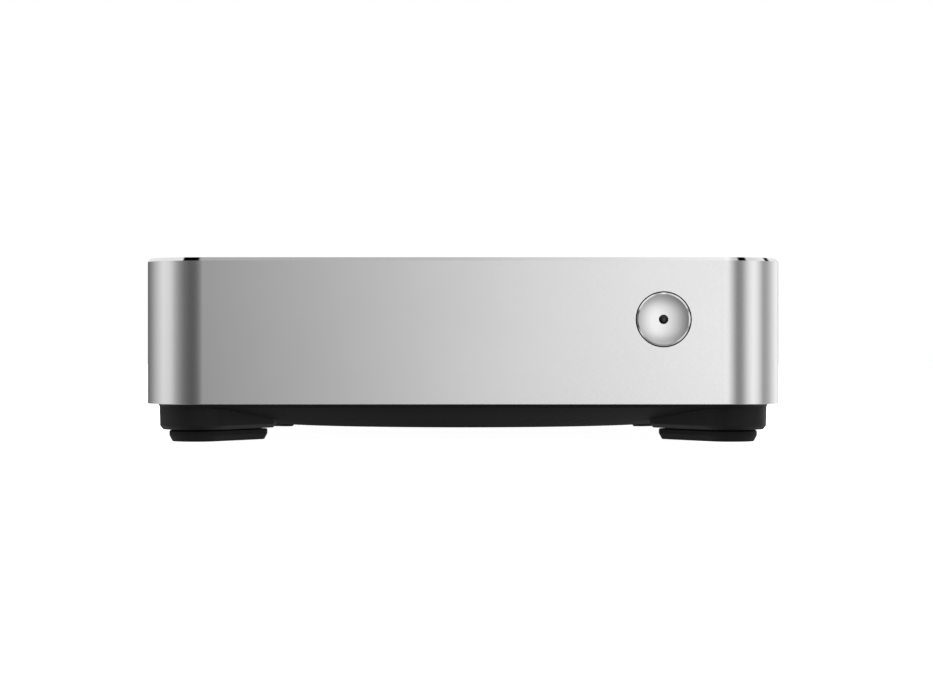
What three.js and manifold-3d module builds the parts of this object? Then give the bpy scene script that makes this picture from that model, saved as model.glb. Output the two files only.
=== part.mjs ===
// Compact desktop computer: an aluminium shell that lifts off a black base with four corner feet.
// Millimetres, +Z up, front towards -Y. The origin is on the ground under the middle of the case.
import * as THREE from "three";
import { mergeVertices } from "three/addons/utils/BufferGeometryUtils.js";
import Module from "manifold-3d";

const wasm = await Module();
wasm.setup();

// ---------- Clearances ----------
const seat = 0.3; // between pieces that rest on or against each other
const fit = 0.1; // all round a pressed-in piece
const swing = 0.5; // round anything that turns

// ---------- Case ----------
const caseWidth = 190;
const caseDepth = 190;
const caseTop = 54.75;
const cornerRadius = 16.5;
const shellWall = 2.5;
const topChamfer = 1;
const shellBottom = 11.3;
const rebateDepth = 1.2; // step inside the shell's lower edge, over the tray's rim
const halfWidth = caseWidth / 2;
const halfDepth = caseDepth / 2;

// ---------- Base tray ----------
const rimHeight = 2.7;
const rimWall = 1.6;
const bellyHeight = 3.6;
const bellyRadius = 65.3;
const bellyFloor = 3;
const bowlInset = 3.8; // from the case's outline to the bowl's upper edge
const bowlFlare = 1; // radius under the shell's edge
const rimInset = shellWall - rebateDepth + seat;
const rimTop = shellBottom + rimHeight;
const bowlTop = shellBottom - bowlFlare;

// ---------- Feet: a teardrop in plan, its point towards the middle ----------
const footCorner = 14.8; // from the case's sides to the middle of the foot's wide end
const footLength = 23.5; // between the middles of its two ends
const legWideRadius = 11;
const legTipRadius = 6.3;
const legChamfer = 1.1;
const legWall = 2.2;
const padInset = 2.9; // from the leg's side to the pad's
const padChamferHeight = 1.8;
const padChamferWidth = 0.9;
const padPlugRadius = 3.2;
const padPlugHeight = 1.8;

// ---------- Intake grille in the belly ----------
const grilleRadius = 49;
const grilleThickness = 1.4;
const grilleLedge = 4; // width of the ledge it is glued to
const slotWidth = 3;
const slotPitch = 6.5;
const slotEdge = 6; // solid border round the slots

// ---------- Rear opening and panel ----------
const notchHalfWidth = 76;
const notchTop = 40.3;
const panelRecess = 0.8;
const panelThickness = 2.2;
const panelFace = halfDepth - panelRecess;
const panelBack = panelFace - panelThickness;
const postWidth = 7;
const postDepth = 6;
const postInset = 5; // from the notch's side to the post's middle
const panelScrewZ = 35.6;

// ---------- Power button ----------
const buttonX = 59.1;
const buttonZ = 36.4;
const buttonRadius = 7.95;
const buttonRim = 0.55;
const rimDrop = 0.25;
const dishDepth = 0.5;
const buttonTravel = 0.6;
const flangeWidth = 1.4;
const flangeThickness = 1;
const stemRadius = 3.6;
const pipeRadius = 1.3;
const guideWall = 2.3;
const guideBackThickness = 1.2;
const springRoom = 2;
const springWire = 0.25;
const springTurns = 2.5;
const plungerLength = 2.9;
const plungerWall = 1;
const switchSize = 10;
const switchHeight = 3.4;
const switchBoardWidth = 16;
const switchBoardHeight = 20;
const switchBoardThickness = 1.2;
const bracketThickness = 1.5;

// ---------- Mainboard ----------
const boardThickness = 1.6;
const boardBottom = 13.2;
const boardHalfWidth = 84;
const boardFront = -72;
const boardRear = 84;
const tongueHalfWidth = 66; // the stretch that carries the rear connectors
const boardTop = boardBottom + boardThickness;
const tongueRear = panelBack - 1.2;
const boardScrews = [
  [79, -61],
  [-78, -50],
  [78, 60],
  [-78, 60],
];
const bossRadius = 3.5;
const bossHoleDepth = 2.8;
const screwRadius = 1;
const screwHeadRadius = 2.4;
const screwHeadHeight = 1.4;

// ---------- Cooler ----------
const fanX = -48;
const fanY = 32;
const fanRadius = 23.5;
const fanHeight = 9;
const fanHubRadius = 9;
const fanBlades = 22;
const housingWall = 1.8;
const housingFloor = 1.2;
const housingBottom = 19;
const fanCoverThickness = 0.8;
const scroll = 3; // between the blades' tips and the housing's wall
const housingHalf = fanRadius + scroll + housingWall;
const housingHeight = housingFloor + 2 * swing + fanHeight;
const housingTop = housingBottom + housingHeight;
const outletRear = fanY + housingHalf;
const pipeWidth = 8;
const pipeHeight = 3;
const cpuX = 24;
const cpuY = 6;
const cpuSize = 28;
const cpuHeight = 1.4;
const plateSize = 40;
const plateThickness = 2.6;
const armThickness = 1.2;
const finPitch = 2.2;
const finThickness = 0.7;
const finCount = 17;
const finHeight = 12;
const finX = -47.5;
const finDepthGap = 1.6; // to the fan's outlet and to the rear panel
const finBase = 1.2;

// ---------- Memory ----------
const memoryX = 42;
const memoryY = -31;
const moduleWidth = 67.6;
const moduleDepth = 30;
const moduleThickness = 1;
const moduleLift = 3.4; // underside of the module over the board
const latchThickness = 0.6;
const latchLength = 22;

// ---------- Drive ----------
const driveWidth = 70;
const driveDepth = 100;
const driveHeight = 9.4;
const driveX = -49;
const driveFront = -88.5;
const driveBottom = 33;
const driveLid = 0.8;
const driveSheet = 1.2;
const legStrip = 9;
const toeWidth = 7;

const arcSteps = 10; // to a quarter turn of the case's corners

// ---------- Materials ----------
function finish(color, roughness, metalness) {
  return new THREE.MeshStandardMaterial({ color, roughness, metalness });
}
const materials = {
  aluminium: finish(0xc9cacc, 0.32, 1),
  blackPlastic: finish(0x161617, 0.55, 0),
  rubber: finish(0x101011, 0.8, 0),
  smokedLens: finish(0x17181a, 0.15, 0),
  springSteel: finish(0xa9abad, 0.3, 1),
  sheetSteel: finish(0x9da0a2, 0.4, 1),
  screwSteel: finish(0x2a2b2d, 0.4, 1),
  circuitBoard: finish(0x123a2a, 0.5, 0),
  chip: finish(0x1b1c1e, 0.45, 0),
  copper: finish(0xb87346, 0.3, 1),
  finAluminium: finish(0xb4b7ba, 0.35, 1),
  connectorShell: finish(0xb9bcbf, 0.3, 1),
  cable: finish(0x202123, 0.6, 0),
  cell: finish(0xc4c6c8, 0.25, 1),
};

// ---------- Solids ----------
function toSolid(geometry) {
  const bare = geometry.index ? geometry.toNonIndexed() : geometry.clone();
  bare.deleteAttribute("normal");
  bare.deleteAttribute("uv");
  const merged = mergeVertices(bare, 1e-4);
  const vertProperties = merged.attributes.position.array;
  const triVerts = new Uint32Array(merged.index.array);
  return new wasm.Manifold(new wasm.Mesh({ numProp: 3, vertProperties, triVerts }));
}

function toGeometry(solid) {
  const mesh = solid.getMesh();
  const geometry = new THREE.BufferGeometry();
  geometry.setAttribute("position", new THREE.BufferAttribute(mesh.vertProperties, 3));
  geometry.setIndex(new THREE.BufferAttribute(mesh.triVerts, 1));
  geometry.computeVertexNormals();
  return geometry;
}

function fuse(first, ...others) {
  return toGeometry(others.reduce((whole, piece) => whole.add(toSolid(piece)), toSolid(first)));
}

function carve(body, ...tools) {
  return toGeometry(tools.reduce((whole, tool) => whole.subtract(toSolid(tool)), toSolid(body)));
}

// ---------- Simple shapes ----------
// A box between two corners.
function block(low, high) {
  const size = high.map((value, k) => value - low[k]);
  const middle = high.map((value, k) => (value + low[k]) / 2);
  return new THREE.BoxGeometry(...size).translate(...middle);
}

// A cylinder along Z between two heights.
function rod(radius, bottom, top, x = 0, y = 0, sides = 24) {
  const cylinder = new THREE.CylinderGeometry(radius, radius, top - bottom, sides);
  return cylinder.rotateX(Math.PI / 2).translate(x, y, (bottom + top) / 2);
}

// A closed profile of [radius, height] pairs turned round Z.
function turned(profile, sides = 32) {
  const points = profile.map(([radius, height]) => new THREE.Vector2(radius, height));
  return new THREE.LatheGeometry(points, sides).rotateX(Math.PI / 2);
}

// A flat outline of [x, y] pairs raised from one height to another.
function raised(outline, bottom, top) {
  const shape = new THREE.Shape(outline.map(([x, y]) => new THREE.Vector2(x, y)));
  const settings = { depth: top - bottom, bevelEnabled: false };
  return new THREE.ExtrudeGeometry(shape, settings).translate(0, 0, bottom);
}

// A round section swept along a smooth line through the points.
function tube(points, radius, steps, sides = 8) {
  const path = new THREE.CatmullRomCurve3(points.map((point) => new THREE.Vector3(...point)));
  const section = new THREE.Shape().absarc(0, 0, radius, 0, 2 * Math.PI);
  const settings = { steps, extrudePath: path, curveSegments: sides / 2, bevelEnabled: false };
  return new THREE.ExtrudeGeometry(section, settings);
}

// Skin over rings of equal point counts, from the first ring's cap to the last ring's.
function loft(rings) {
  const count = rings[0].length;
  const positions = rings.flat().flatMap((point) => [point.x, point.y, point.z]);
  const middles = [rings[0], rings[rings.length - 1]].map((ring) =>
    ring
      .reduce((sum, point) => sum.add(point), new THREE.Vector3())
      .divideScalar(count),
  );
  positions.push(...middles[0].toArray(), ...middles[1].toArray());
  const index = [];
  for (let row = 0; row < rings.length - 1; row++) {
    for (let k = 0; k < count; k++) {
      const next = (k + 1) % count;
      const [a, b] = [row * count + k, row * count + next];
      index.push(a, b, b + count, a, b + count, a + count);
    }
  }
  const [start, end] = [rings.length * count, rings.length * count + 1];
  const last = (rings.length - 1) * count;
  for (let k = 0; k < count; k++) {
    const next = (k + 1) % count;
    index.push(start, next, k, end, last + k, last + next);
  }
  const geometry = new THREE.BufferGeometry();
  geometry.setAttribute("position", new THREE.Float32BufferAttribute(positions, 3));
  geometry.setIndex(index);
  return geometry;
}

// ---------- Outlines ----------
function lift(points, z) {
  return points.map((point) => new THREE.Vector3(point.x, point.y, z));
}

// The case's outline, moved inwards, with its straight sides cut into steps.
function caseOutline(inset, sideSteps = 1) {
  const radius = cornerRadius - inset;
  const corners = [
    [1, 1],
    [-1, 1],
    [-1, -1],
    [1, -1],
  ];
  const arcs = corners.map(([sideX, sideY], corner) => {
    const middle = new THREE.Vector2(
      sideX * (halfWidth - cornerRadius),
      sideY * (halfDepth - cornerRadius),
    );
    return Array.from({ length: arcSteps + 1 }, (_, step) => {
      const angle = (Math.PI / 2) * (corner + step / arcSteps);
      return middle.clone().add(new THREE.Vector2(radius, 0).rotateAround(new THREE.Vector2(), angle));
    });
  });
  return arcs.flatMap((arc, corner) => {
    const from = arc[arcSteps];
    const to = arcs[(corner + 1) % 4][0];
    const side = Array.from({ length: sideSteps - 1 }, (_, k) => from.clone().lerp(to, (k + 1) / sideSteps));
    return [...arc, ...side];
  });
}

// The points of a circle that lie in the same directions as those of an outline.
function circleUnder(outline, radius) {
  return outline.map((point) => point.clone().setLength(radius));
}

// A foot's outline about the case's front left corner, moved outwards by an offset.
function teardrop(offset, wideRadius = legWideRadius, tipRadius = legTipRadius) {
  const inwards = Math.PI / 4;
  const wide = new THREE.Vector2(-halfWidth + footCorner, -halfDepth + footCorner);
  const tip = wide.clone().add(new THREE.Vector2(footLength, 0).rotateAround(new THREE.Vector2(), inwards));
  const spread = Math.acos((wideRadius - tipRadius) / footLength);
  function arc(middle, radius, from, to, steps) {
    return Array.from({ length: steps + 1 }, (_, k) => {
      const angle = inwards + from + ((to - from) * k) / steps;
      return new THREE.Vector2(radius, 0).rotateAround(new THREE.Vector2(), angle).add(middle);
    });
  }
  return [
    ...arc(wide, wideRadius + offset, spread, 2 * Math.PI - spread, 14),
    ...arc(tip, tipRadius + offset, -spread, spread, 6),
  ];
}

// Height of the bowl's underside over the ground.
function bowlUnderside(x, y) {
  const reach = Math.max(Math.abs(x) / (halfWidth - bowlInset), Math.abs(y) / (halfDepth - bowlInset));
  const distance = Math.hypot(x, y);
  const share = Math.max(0, (distance - bellyRadius) / (distance / reach - bellyRadius));
  return bellyHeight + share * (bowlTop - bellyHeight);
}

// ---------- Assembly ----------
const computer = new THREE.Group();

function add(name, geometry, material, place = [0, 0, 0], parent = computer) {
  const mesh = new THREE.Mesh(geometry, material);
  mesh.name = name;
  mesh.position.set(...place);
  parent.add(mesh);
  return mesh;
}

function group(place, turn = [0, 0, 0]) {
  const holder = new THREE.Group();
  holder.position.set(...place);
  holder.rotation.set(...turn);
  computer.add(holder);
  return holder;
}

// A pan-head screw: its head's underside is at height 0 and its shank points down.
function screw(length) {
  const head = turned([
    [0, 0],
    [screwHeadRadius, 0],
    [screwHeadRadius, screwHeadHeight - 0.4],
    [screwHeadRadius - 0.5, screwHeadHeight],
    [0, screwHeadHeight],
  ], 12);
  const recess = [
    block([-1.3, -0.25, 0.7], [1.3, 0.25, screwHeadHeight + 1]),
    block([-0.25, -1.3, 0.7], [0.25, 1.3, screwHeadHeight + 1]),
  ];
  return carve(fuse(head, rod(screwRadius, -length, 0.2, 0, 0, 8)), ...recess);
}

// ---------- Shell ----------
function shellGeometry() {
  const outer = loft([
    lift(caseOutline(0), shellBottom),
    lift(caseOutline(0), caseTop - topChamfer),
    lift(caseOutline(topChamfer), caseTop),
  ]);
  const hollow = loft([
    lift(caseOutline(shellWall - rebateDepth), shellBottom - 1),
    lift(caseOutline(shellWall - rebateDepth), rimTop + seat),
    lift(caseOutline(shellWall), rimTop + seat),
    lift(caseOutline(shellWall), caseTop - shellWall),
  ]);
  const notch = block(
    [-notchHalfWidth, halfDepth - 3 * shellWall, shellBottom - 1],
    [notchHalfWidth, halfDepth + 1, notchTop],
  );
  const hole = rod(buttonRadius + seat, -1, shellWall + 1, 0, 0, 48);
  hole.rotateX(-Math.PI / 2).translate(buttonX, -halfDepth, buttonZ);
  return carve(outer, hollow, notch, hole);
}

// ---------- Base tray ----------
function legGeometry() {
  return loft([
    lift(teardrop(-legChamfer), bellyHeight),
    lift(teardrop(0), bellyHeight + legChamfer),
    lift(teardrop(0), bowlTop),
    lift(teardrop(bowlFlare * 0.3), bowlTop + bowlFlare * 0.7),
    lift(teardrop(bowlFlare), shellBottom),
  ]);
}

// The same piece at each corner of the case, turned about its middle.
function atCorners(geometry) {
  return [0, 1, 2, 3].map((corner) => {
    const copy = geometry.clone();
    const flip = new THREE.Matrix4().makeScale(corner % 3 === 0 ? 1 : -1, corner < 2 ? 1 : -1, 1);
    copy.applyMatrix4(flip);
    if (flip.determinant() < 0) {
      const order = copy.index.array;
      for (let k = 0; k < order.length; k += 3) {
        [order[k], order[k + 1]] = [order[k + 1], order[k]];
      }
    }
    return copy;
  });
}

function trayGeometry() {
  const steps = 8;
  const top = caseOutline(bowlInset, steps);
  const mid = Math.SQRT1_2;
  const bowl = loft([
    lift(circleUnder(top, bellyRadius), bellyHeight),
    lift(top, bowlTop),
    lift(caseOutline(bowlInset - bowlFlare * (1 - mid), steps), bowlTop + bowlFlare * mid),
    lift(caseOutline(bowlInset - bowlFlare, steps), shellBottom),
    lift(caseOutline(rimInset, steps), shellBottom),
    lift(caseOutline(rimInset, steps), rimTop),
    lift(caseOutline(rimInset + rimWall, steps), rimTop),
    lift(caseOutline(rimInset + rimWall, steps), rimTop - 1.2),
    lift(caseOutline(bowlInset + 1.2, steps), rimTop - 1.6),
    lift(circleUnder(top, bellyRadius - bellyFloor), bellyHeight + bellyFloor),
  ]);
  const pocket = loft([
    lift(teardrop(-legWall), bellyHeight + padPlugHeight + 1),
    lift(teardrop(-legWall), shellBottom + 1),
  ]);
  const [wideX, wideY] = [-halfWidth + footCorner, -halfDepth + footCorner];
  const plugHole = rod(padPlugRadius + seat, bellyHeight - 1, bellyHeight + padPlugHeight, wideX, wideY, 20);
  const sill = block(
    [-notchHalfWidth + 2 * seat, halfDepth - rimInset - rimWall, shellBottom],
    [notchHalfWidth - 2 * seat, panelFace, rimTop],
  );
  const postX = notchHalfWidth - postInset;
  const posts = [-postX, postX].map((x) => {
    const y = panelBack - seat;
    return block(
      [x - postWidth / 2, y - postDepth, bowlUnderside(x, y - postDepth) + 1],
      [x + postWidth / 2, y, notchTop - 1.5],
    );
  });
  const pilots = [-postX, postX].map((x) =>
    rod(screwRadius + seat, -postDepth + 1, 1, 0, 0, 12)
      .rotateX(-Math.PI / 2)
      .translate(x, panelBack - seat, panelScrewZ),
  );
  const bossPlaces = [...boardScrews, [buttonX, bracketFootY]];
  const bosses = bossPlaces.map(([x, y]) =>
    rod(bossRadius, bowlUnderside(x, y) + 1.4, boardBottom - seat, x, y),
  );
  const bossHoles = bossPlaces.map(([x, y]) =>
    rod(screwRadius + seat, boardBottom - bossHoleDepth, boardBottom + 1, x, y, 12),
  );
  const solid = fuse(bowl, ...atCorners(legGeometry()), sill, ...posts, ...bosses);
  return carve(
    solid,
    ...atCorners(pocket),
    ...atCorners(plugHole),
    ...pilots,
    ...bossHoles,
    rod(grilleRadius + seat, bellyHeight - 1, bellyHeight + grilleThickness + seat, 0, 0, 64),
    rod(grilleRadius - grilleLedge, bellyHeight, bellyHeight + bellyFloor + 1, 0, 0, 64),
  );
}

function grilleGeometry() {
  const open = grilleRadius - slotEdge;
  const rows = Math.floor(open / slotPitch);
  const slots = [];
  for (let row = -rows; row <= rows; row++) {
    const y = row * slotPitch;
    const reach = Math.sqrt(open * open - y * y);
    const ends = y === 0 ? [[-reach, reach]] : [[-reach, -slotWidth], [slotWidth, reach]];
    for (const [from, to] of ends) {
      slots.push(block([from, y - slotWidth / 2, -1], [to, y + slotWidth / 2, grilleThickness + 1]));
    }
  }
  return carve(rod(grilleRadius, 0, grilleThickness, 0, 0, 64), ...slots);
}

function padGeometry() {
  const wide = legWideRadius - padInset;
  const tip = legTipRadius - padInset;
  const top = bellyHeight - seat;
  const pad = loft([
    lift(teardrop(-padChamferWidth, wide, tip), 0),
    lift(teardrop(0, wide, tip), padChamferHeight),
    lift(teardrop(0, wide, tip), top),
  ]);
  const [x, y] = [-halfWidth + footCorner, -halfDepth + footCorner];
  return fuse(pad, rod(padPlugRadius, top - 0.5, bellyHeight + padPlugHeight - seat, x, y, 20));
}

// ---------- Rear connectors: width, height and depth of each shell, and its middle ----------
const connectorFace = panelFace + 0.4;
const rearConnectors = {
  dc_jack: { x: 60.5, width: 9, height: 11, depth: 14 },
  video_port: { x: 45, width: 15.2, height: 6, depth: 11.5 },
  network_port: { x: 27, width: 16, height: 13.5, depth: 17.5 },
  data_ports_right: { x: 9, width: 14.4, height: 15.6, depth: 17.5 },
  data_ports_left: { x: -7.5, width: 14.4, height: 15.6, depth: 17.5 },
  audio_jacks: { x: -21.5, width: 7.6, height: 13, depth: 12 },
};
const connectorBase = boardTop + seat;
const wallThickness = 0.6;

function connectorBody({ width, height, depth }) {
  return block([-width / 2, -depth, 0], [width / 2, 0, height]);
}

function dataPorts(size) {
  const cavities = [];
  const tongues = [];
  const socketHeight = 5.2;
  const gap = (size.height - 2 * socketHeight) / 3;
  for (let row = 0; row < 2; row++) {
    const bottom = gap + row * (socketHeight + gap);
    const half = size.width / 2 - wallThickness;
    cavities.push(block([-half, -11, bottom], [half, 1, bottom + socketHeight]));
    tongues.push(block([-half + 0.8, -11.5, bottom + 3], [half - 0.8, -0.8, bottom + 4.8]));
  }
  return fuse(carve(connectorBody(size), ...cavities), ...tongues);
}

function networkPort(size) {
  const half = size.width / 2 - 2.1;
  const cavity = block([-half, -13, 2.4], [half, 1, 9.4]);
  const tabSlot = block([-3.2, -13, 9], [3.2, 1, 11.4]);
  return carve(connectorBody(size), cavity, tabSlot);
}

function videoPort(size) {
  const half = size.width / 2 - wallThickness;
  const inner = size.height - wallThickness;
  const cavity = raised(
    [
      [-half + 1.5, wallThickness],
      [half - 1.5, wallThickness],
      [half, wallThickness + 1.6],
      [half, inner],
      [-half, inner],
      [-half, wallThickness + 1.6],
    ],
    0,
    10,
  );
  cavity.rotateX(Math.PI / 2).translate(0, 1, 0);
  return fuse(carve(connectorBody(size), cavity), block([-half + 1.6, -9.5, 2.7], [half - 1.6, -0.8, 3.7]));
}

function alongY(geometry, x, y, z) {
  return geometry.rotateX(-Math.PI / 2).translate(x, y, z);
}

function dcJack(size) {
  const middle = size.height / 2;
  const socket = alongY(rod(3.1, -10, 1, 0, 0, 20), 0, 0, middle);
  const pin = alongY(rod(1, -10.5, -0.6, 0, 0, 12), 0, 0, middle);
  return fuse(carve(connectorBody(size), socket), pin);
}

function audioJacks(size) {
  const sockets = [0.27, 0.73].map((share) => alongY(rod(1.85, -9, 1, 0, 0, 16), 0, 0, size.height * share));
  return carve(connectorBody(size), ...sockets);
}

function panelGeometry() {
  const bottom = rimTop + seat;
  const plate = block(
    [-notchHalfWidth + seat, panelBack, bottom],
    [notchHalfWidth - seat, panelFace, notchTop - seat],
  );
  const windows = Object.values(rearConnectors).map(({ x, width, height }) =>
    block(
      [x - width / 2 - seat, panelBack - 1, bottom - 1],
      [x + width / 2 + seat, panelFace + 1, connectorBase + height + seat],
    ),
  );
  const finWidth = (finCount - 1) * finPitch + finThickness;
  const vents = [];
  for (let k = 0; k < finCount; k += 1) {
    const x = finX - finWidth / 2 + (k + 0.5) * finPitch;
    vents.push(block([x - 0.65, panelBack - 1, 18.5], [x + 0.65, panelFace + 1, 35]));
  }
  vents.pop();
  const postX = notchHalfWidth - postInset;
  const screwHoles = [-postX, postX].flatMap((x) => [
    alongY(rod(screwRadius + seat, -1, panelThickness + 1, 0, 0, 12), x, panelBack, panelScrewZ),
    alongY(rod(screwHeadRadius + seat, -1, 1, 0, 0, 20), x, panelFace, panelScrewZ),
  ]);
  const lockSlot = block([51.5, panelBack - 1, 31], [58.5, panelFace + 1, 34]);
  return carve(plate, ...windows, ...vents, ...screwHoles, lockSlot);
}

// ---------- Power button: heights run inwards from the case's front face ----------
const flangeFront = shellWall + seat;
const flangeBack = flangeFront + flangeThickness;
const guideInner = flangeBack + seat + springRoom + seat;
const guideBack = guideInner + guideBackThickness;
const stemEnd = guideBack + 0.2 + 0.2;
const plungerFront = stemEnd + seat;
const plungerInner = stemRadius - 0.6 - plungerWall;
const plungerOuter = stemRadius - 0.6;
const switchFront = plungerFront + buttonTravel + 0.7;
const switchBack = switchFront + switchHeight;
const bracketFront = switchBack + seat + switchBoardThickness + seat;
const bracketFootY = -halfDepth + bracketFront + bracketThickness + screwHeadRadius + swing;

function capGeometry() {
  const bore = pipeRadius + fit;
  const dishRadius = buttonRadius - buttonRim;
  const sphere = (dishRadius * dishRadius + dishDepth * dishDepth) / (2 * dishDepth);
  const steps = 6;
  const dish = Array.from({ length: steps + 1 }, (_, k) => {
    const radius = bore + ((dishRadius - bore) * k) / steps;
    return [radius, dishDepth - sphere + Math.sqrt(sphere * sphere - radius * radius)];
  });
  return turned(
    [
      ...dish,
      [buttonRadius - buttonRim + fit, 0],
      [buttonRadius, rimDrop],
      [buttonRadius, flangeFront],
      [buttonRadius + flangeWidth, flangeFront],
      [buttonRadius + flangeWidth, flangeBack],
      [stemRadius, flangeBack],
      [stemRadius, stemEnd],
      [bore, stemEnd],
      dish[0],
    ],
    40,
  );
}

function guideGeometry() {
  const inner = buttonRadius + flangeWidth + seat;
  return turned(
    [
      [inner, shellWall + seat],
      [inner + guideWall, shellWall + seat],
      [inner + guideWall, guideBack],
      [stemRadius + swing, guideBack],
      [stemRadius + swing, guideInner],
      [inner, guideInner],
      [inner, shellWall + seat],
    ],
    32,
  );
}

class Helix extends THREE.Curve {
  constructor(radius, bottom, top, turns) {
    super();
    Object.assign(this, { radius, bottom, top, turns });
  }

  getPoint(share, target = new THREE.Vector3()) {
    const angle = share * this.turns * 2 * Math.PI;
    const height = this.bottom + (this.top - this.bottom) * share;
    return target.set(this.radius * Math.cos(angle), this.radius * Math.sin(angle), height);
  }
}

function springGeometry() {
  const radius = (stemRadius + buttonRadius) / 2;
  const path = new Helix(radius, flangeBack + seat + springWire, guideInner - seat - springWire, springTurns);
  const section = new THREE.Shape().absarc(0, 0, springWire, 0, 2 * Math.PI);
  const settings = { steps: 44, extrudePath: path, curveSegments: 3, bevelEnabled: false };
  return new THREE.ExtrudeGeometry(section, settings);
}

function switchGeometry() {
  const half = switchSize / 2;
  const body = block([-half, -half, switchFront], [half, half, switchBack]);
  return carve(body, rod(plungerOuter + seat, switchFront - 1, switchBack - 0.6, 0, 0, 24));
}

function bracketGeometry() {
  const half = switchBoardWidth / 2;
  const front = -halfDepth + bracketFront;
  const upright = block([-half, front, boardBottom], [half, front + bracketThickness, buttonZ + 10]);
  const foot = block([-half, front, boardBottom], [half, bracketFootY + 3, boardBottom + bracketThickness]);
  const hole = rod(screwRadius + seat, boardBottom - 1, boardTop + 3, 0, bracketFootY, 12);
  return carve(fuse(upright, foot), hole);
}

// ---------- Mainboard, with the small parts soldered to it ----------
const driveHeader = [-8, 0];
const fanHeader = [-12, 38];
const switchHeader = [70, -66];

function boardGeometry() {
  const plate = block([-boardHalfWidth, boardFront, boardBottom], [boardHalfWidth, boardRear, boardTop]);
  const tongue = block(
    [-tongueHalfWidth, boardRear - 5, boardBottom],
    [tongueHalfWidth, tongueRear, boardTop],
  );
  // Middle, footprint and height of each soldered part.
  const soldered = [
    [62, 4, 10, 10, 4],
    [62, -10, 10, 10, 4],
    [50, -15, 8, 6, 2.5],
    [46, 32, 14, 14, 1.2],
    [18, 40, 10, 10, 1.2],
    [-4, -30, 12, 12, 1.2],
    [-4, -52, 9, 7, 1.5],
    [0, 56, 9, 9, 1.1],
    [28, 62, 8, 8, 1.3],
    [66, 24, 22, 6, 2.4],
    [...driveHeader, 7, 18, 4.2],
    [...fanHeader, 5, 7, 3.2],
    [...switchHeader, 9, 4, 2.2],
  ].map(([x, y, width, depth, height]) =>
    block([x - width / 2, y - depth / 2, boardTop - 0.2], [x + width / 2, y + depth / 2, boardTop + height]),
  );
  const capacitors = [
    [76, 12],
    [76, 4],
    [76, -4],
    [52, 62],
    [60, 62],
  ].map(([x, y]) => rod(3, boardTop - 0.2, boardTop + 6, x, y, 16));
  const holes = boardScrews.map(([x, y]) => rod(screwRadius + seat, boardBottom - 1, boardTop + 1, x, y, 12));
  const airHole = rod(fanRadius - 5, boardBottom - 1, boardTop + 1, fanX, fanY, 40);
  return carve(fuse(plate, tongue, ...soldered, ...capacitors), ...holes, airHole);
}

// ---------- Cooler ----------
const cpuTop = boardTop + seat + cpuHeight;
const plateBottom = cpuTop + seat;
const plateTop = plateBottom + plateThickness;
const heatPipeZ = plateTop + seat + pipeHeight / 2;
const finBottom = heatPipeZ + pipeHeight / 2 + seat;
const finFront = outletRear + finDepthGap;
const finRear = panelBack - finDepthGap;
const heatPipeY = finFront + pipeWidth / 2 + 1;
const fanBottom = housingBottom + housingFloor + swing;
const motorRadius = fanHubRadius - 1.6 - swing;
const shaftRadius = 1;

function plateGeometry() {
  const half = plateSize / 2;
  const plate = block([-half, -half, 0], [half, half, plateThickness]);
  const arms = [1, -1].map((side) =>
    block([side * (half + 2) - 5, side * half - 4, 0], [side * (half + 2) + 5, side * half + 4, armThickness]),
  );
  const holes = coolerScrews().map(([x, y]) => rod(screwRadius + seat, -1, plateThickness + 1, x, y, 12));
  return carve(fuse(plate, ...arms), ...holes);
}

function coolerScrews() {
  const half = plateSize / 2;
  return [1, -1].map((side) => [side * (half + 4), side * half]);
}

function heatPipeGeometry() {
  const path = new THREE.CatmullRomCurve3(
    [
      [cpuX, cpuY - 16],
      [cpuX, cpuY + 14],
      [cpuX - 3, heatPipeY - 26],
      [cpuX - 18, heatPipeY - 7],
      [finX + 34, heatPipeY - 0.5],
      [finX + 20, heatPipeY],
      [finX - 17, heatPipeY],
    ].map(([x, y]) => new THREE.Vector3(x, y, heatPipeZ)),
  );
  const [half, round] = [pipeWidth / 2, pipeHeight / 2];
  const section = new THREE.Shape()
    .absarc(0, half - round, round, 0, Math.PI)
    .absarc(0, round - half, round, Math.PI, 2 * Math.PI)
    .closePath();
  const settings = { steps: 26, extrudePath: path, curveSegments: 3, bevelEnabled: false };
  return new THREE.ExtrudeGeometry(section, settings);
}

function finGeometry() {
  const width = (finCount - 1) * finPitch + finThickness;
  const left = finX - width / 2;
  const base = block([left, finFront, finBottom], [left + width, finRear, finBottom + finBase]);
  const fins = Array.from({ length: finCount }, (_, k) => {
    const x = left + k * finPitch;
    return block([x, finFront, finBottom], [x + finThickness, finRear, finBottom + finHeight]);
  });
  return fuse(base, ...fins);
}

function housingGeometry() {
  const steps = 14;
  const half = housingHalf;
  const bend = Array.from({ length: 2 * steps + 1 }, (_, k) => {
    const angle = Math.PI + (Math.PI * k) / (2 * steps);
    return [half * Math.cos(angle), half * Math.sin(angle)];
  });
  const outline = [[half, half], [-half, half], ...bend];
  const inner = half - housingWall;
  const room = bend.map(([x, y]) => [(x * inner) / half, (y * inner) / half]);
  const hollow = raised([[inner, half + 1], [-inner, half + 1], ...room], housingFloor, housingHeight + 1);
  const spoke = block([-fanRadius, -1.5, 0], [fanRadius, 1.5, housingFloor]);
  const spokes = [0, 1, 2].map((k) => spoke.clone().rotateZ((k * Math.PI) / 3));
  const inlet = rod(fanRadius - 8, -1, housingFloor + 1, 0, 0, 36);
  const shaftHole = rod(shaftRadius + swing, -1, housingHeight, 0, 0, 16);
  const shell = carve(raised(outline, 0, housingHeight), hollow, inlet);
  return carve(fuse(shell, rod(fanHubRadius, 0, housingFloor, 0, 0, 24), ...spokes), shaftHole);
}

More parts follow.
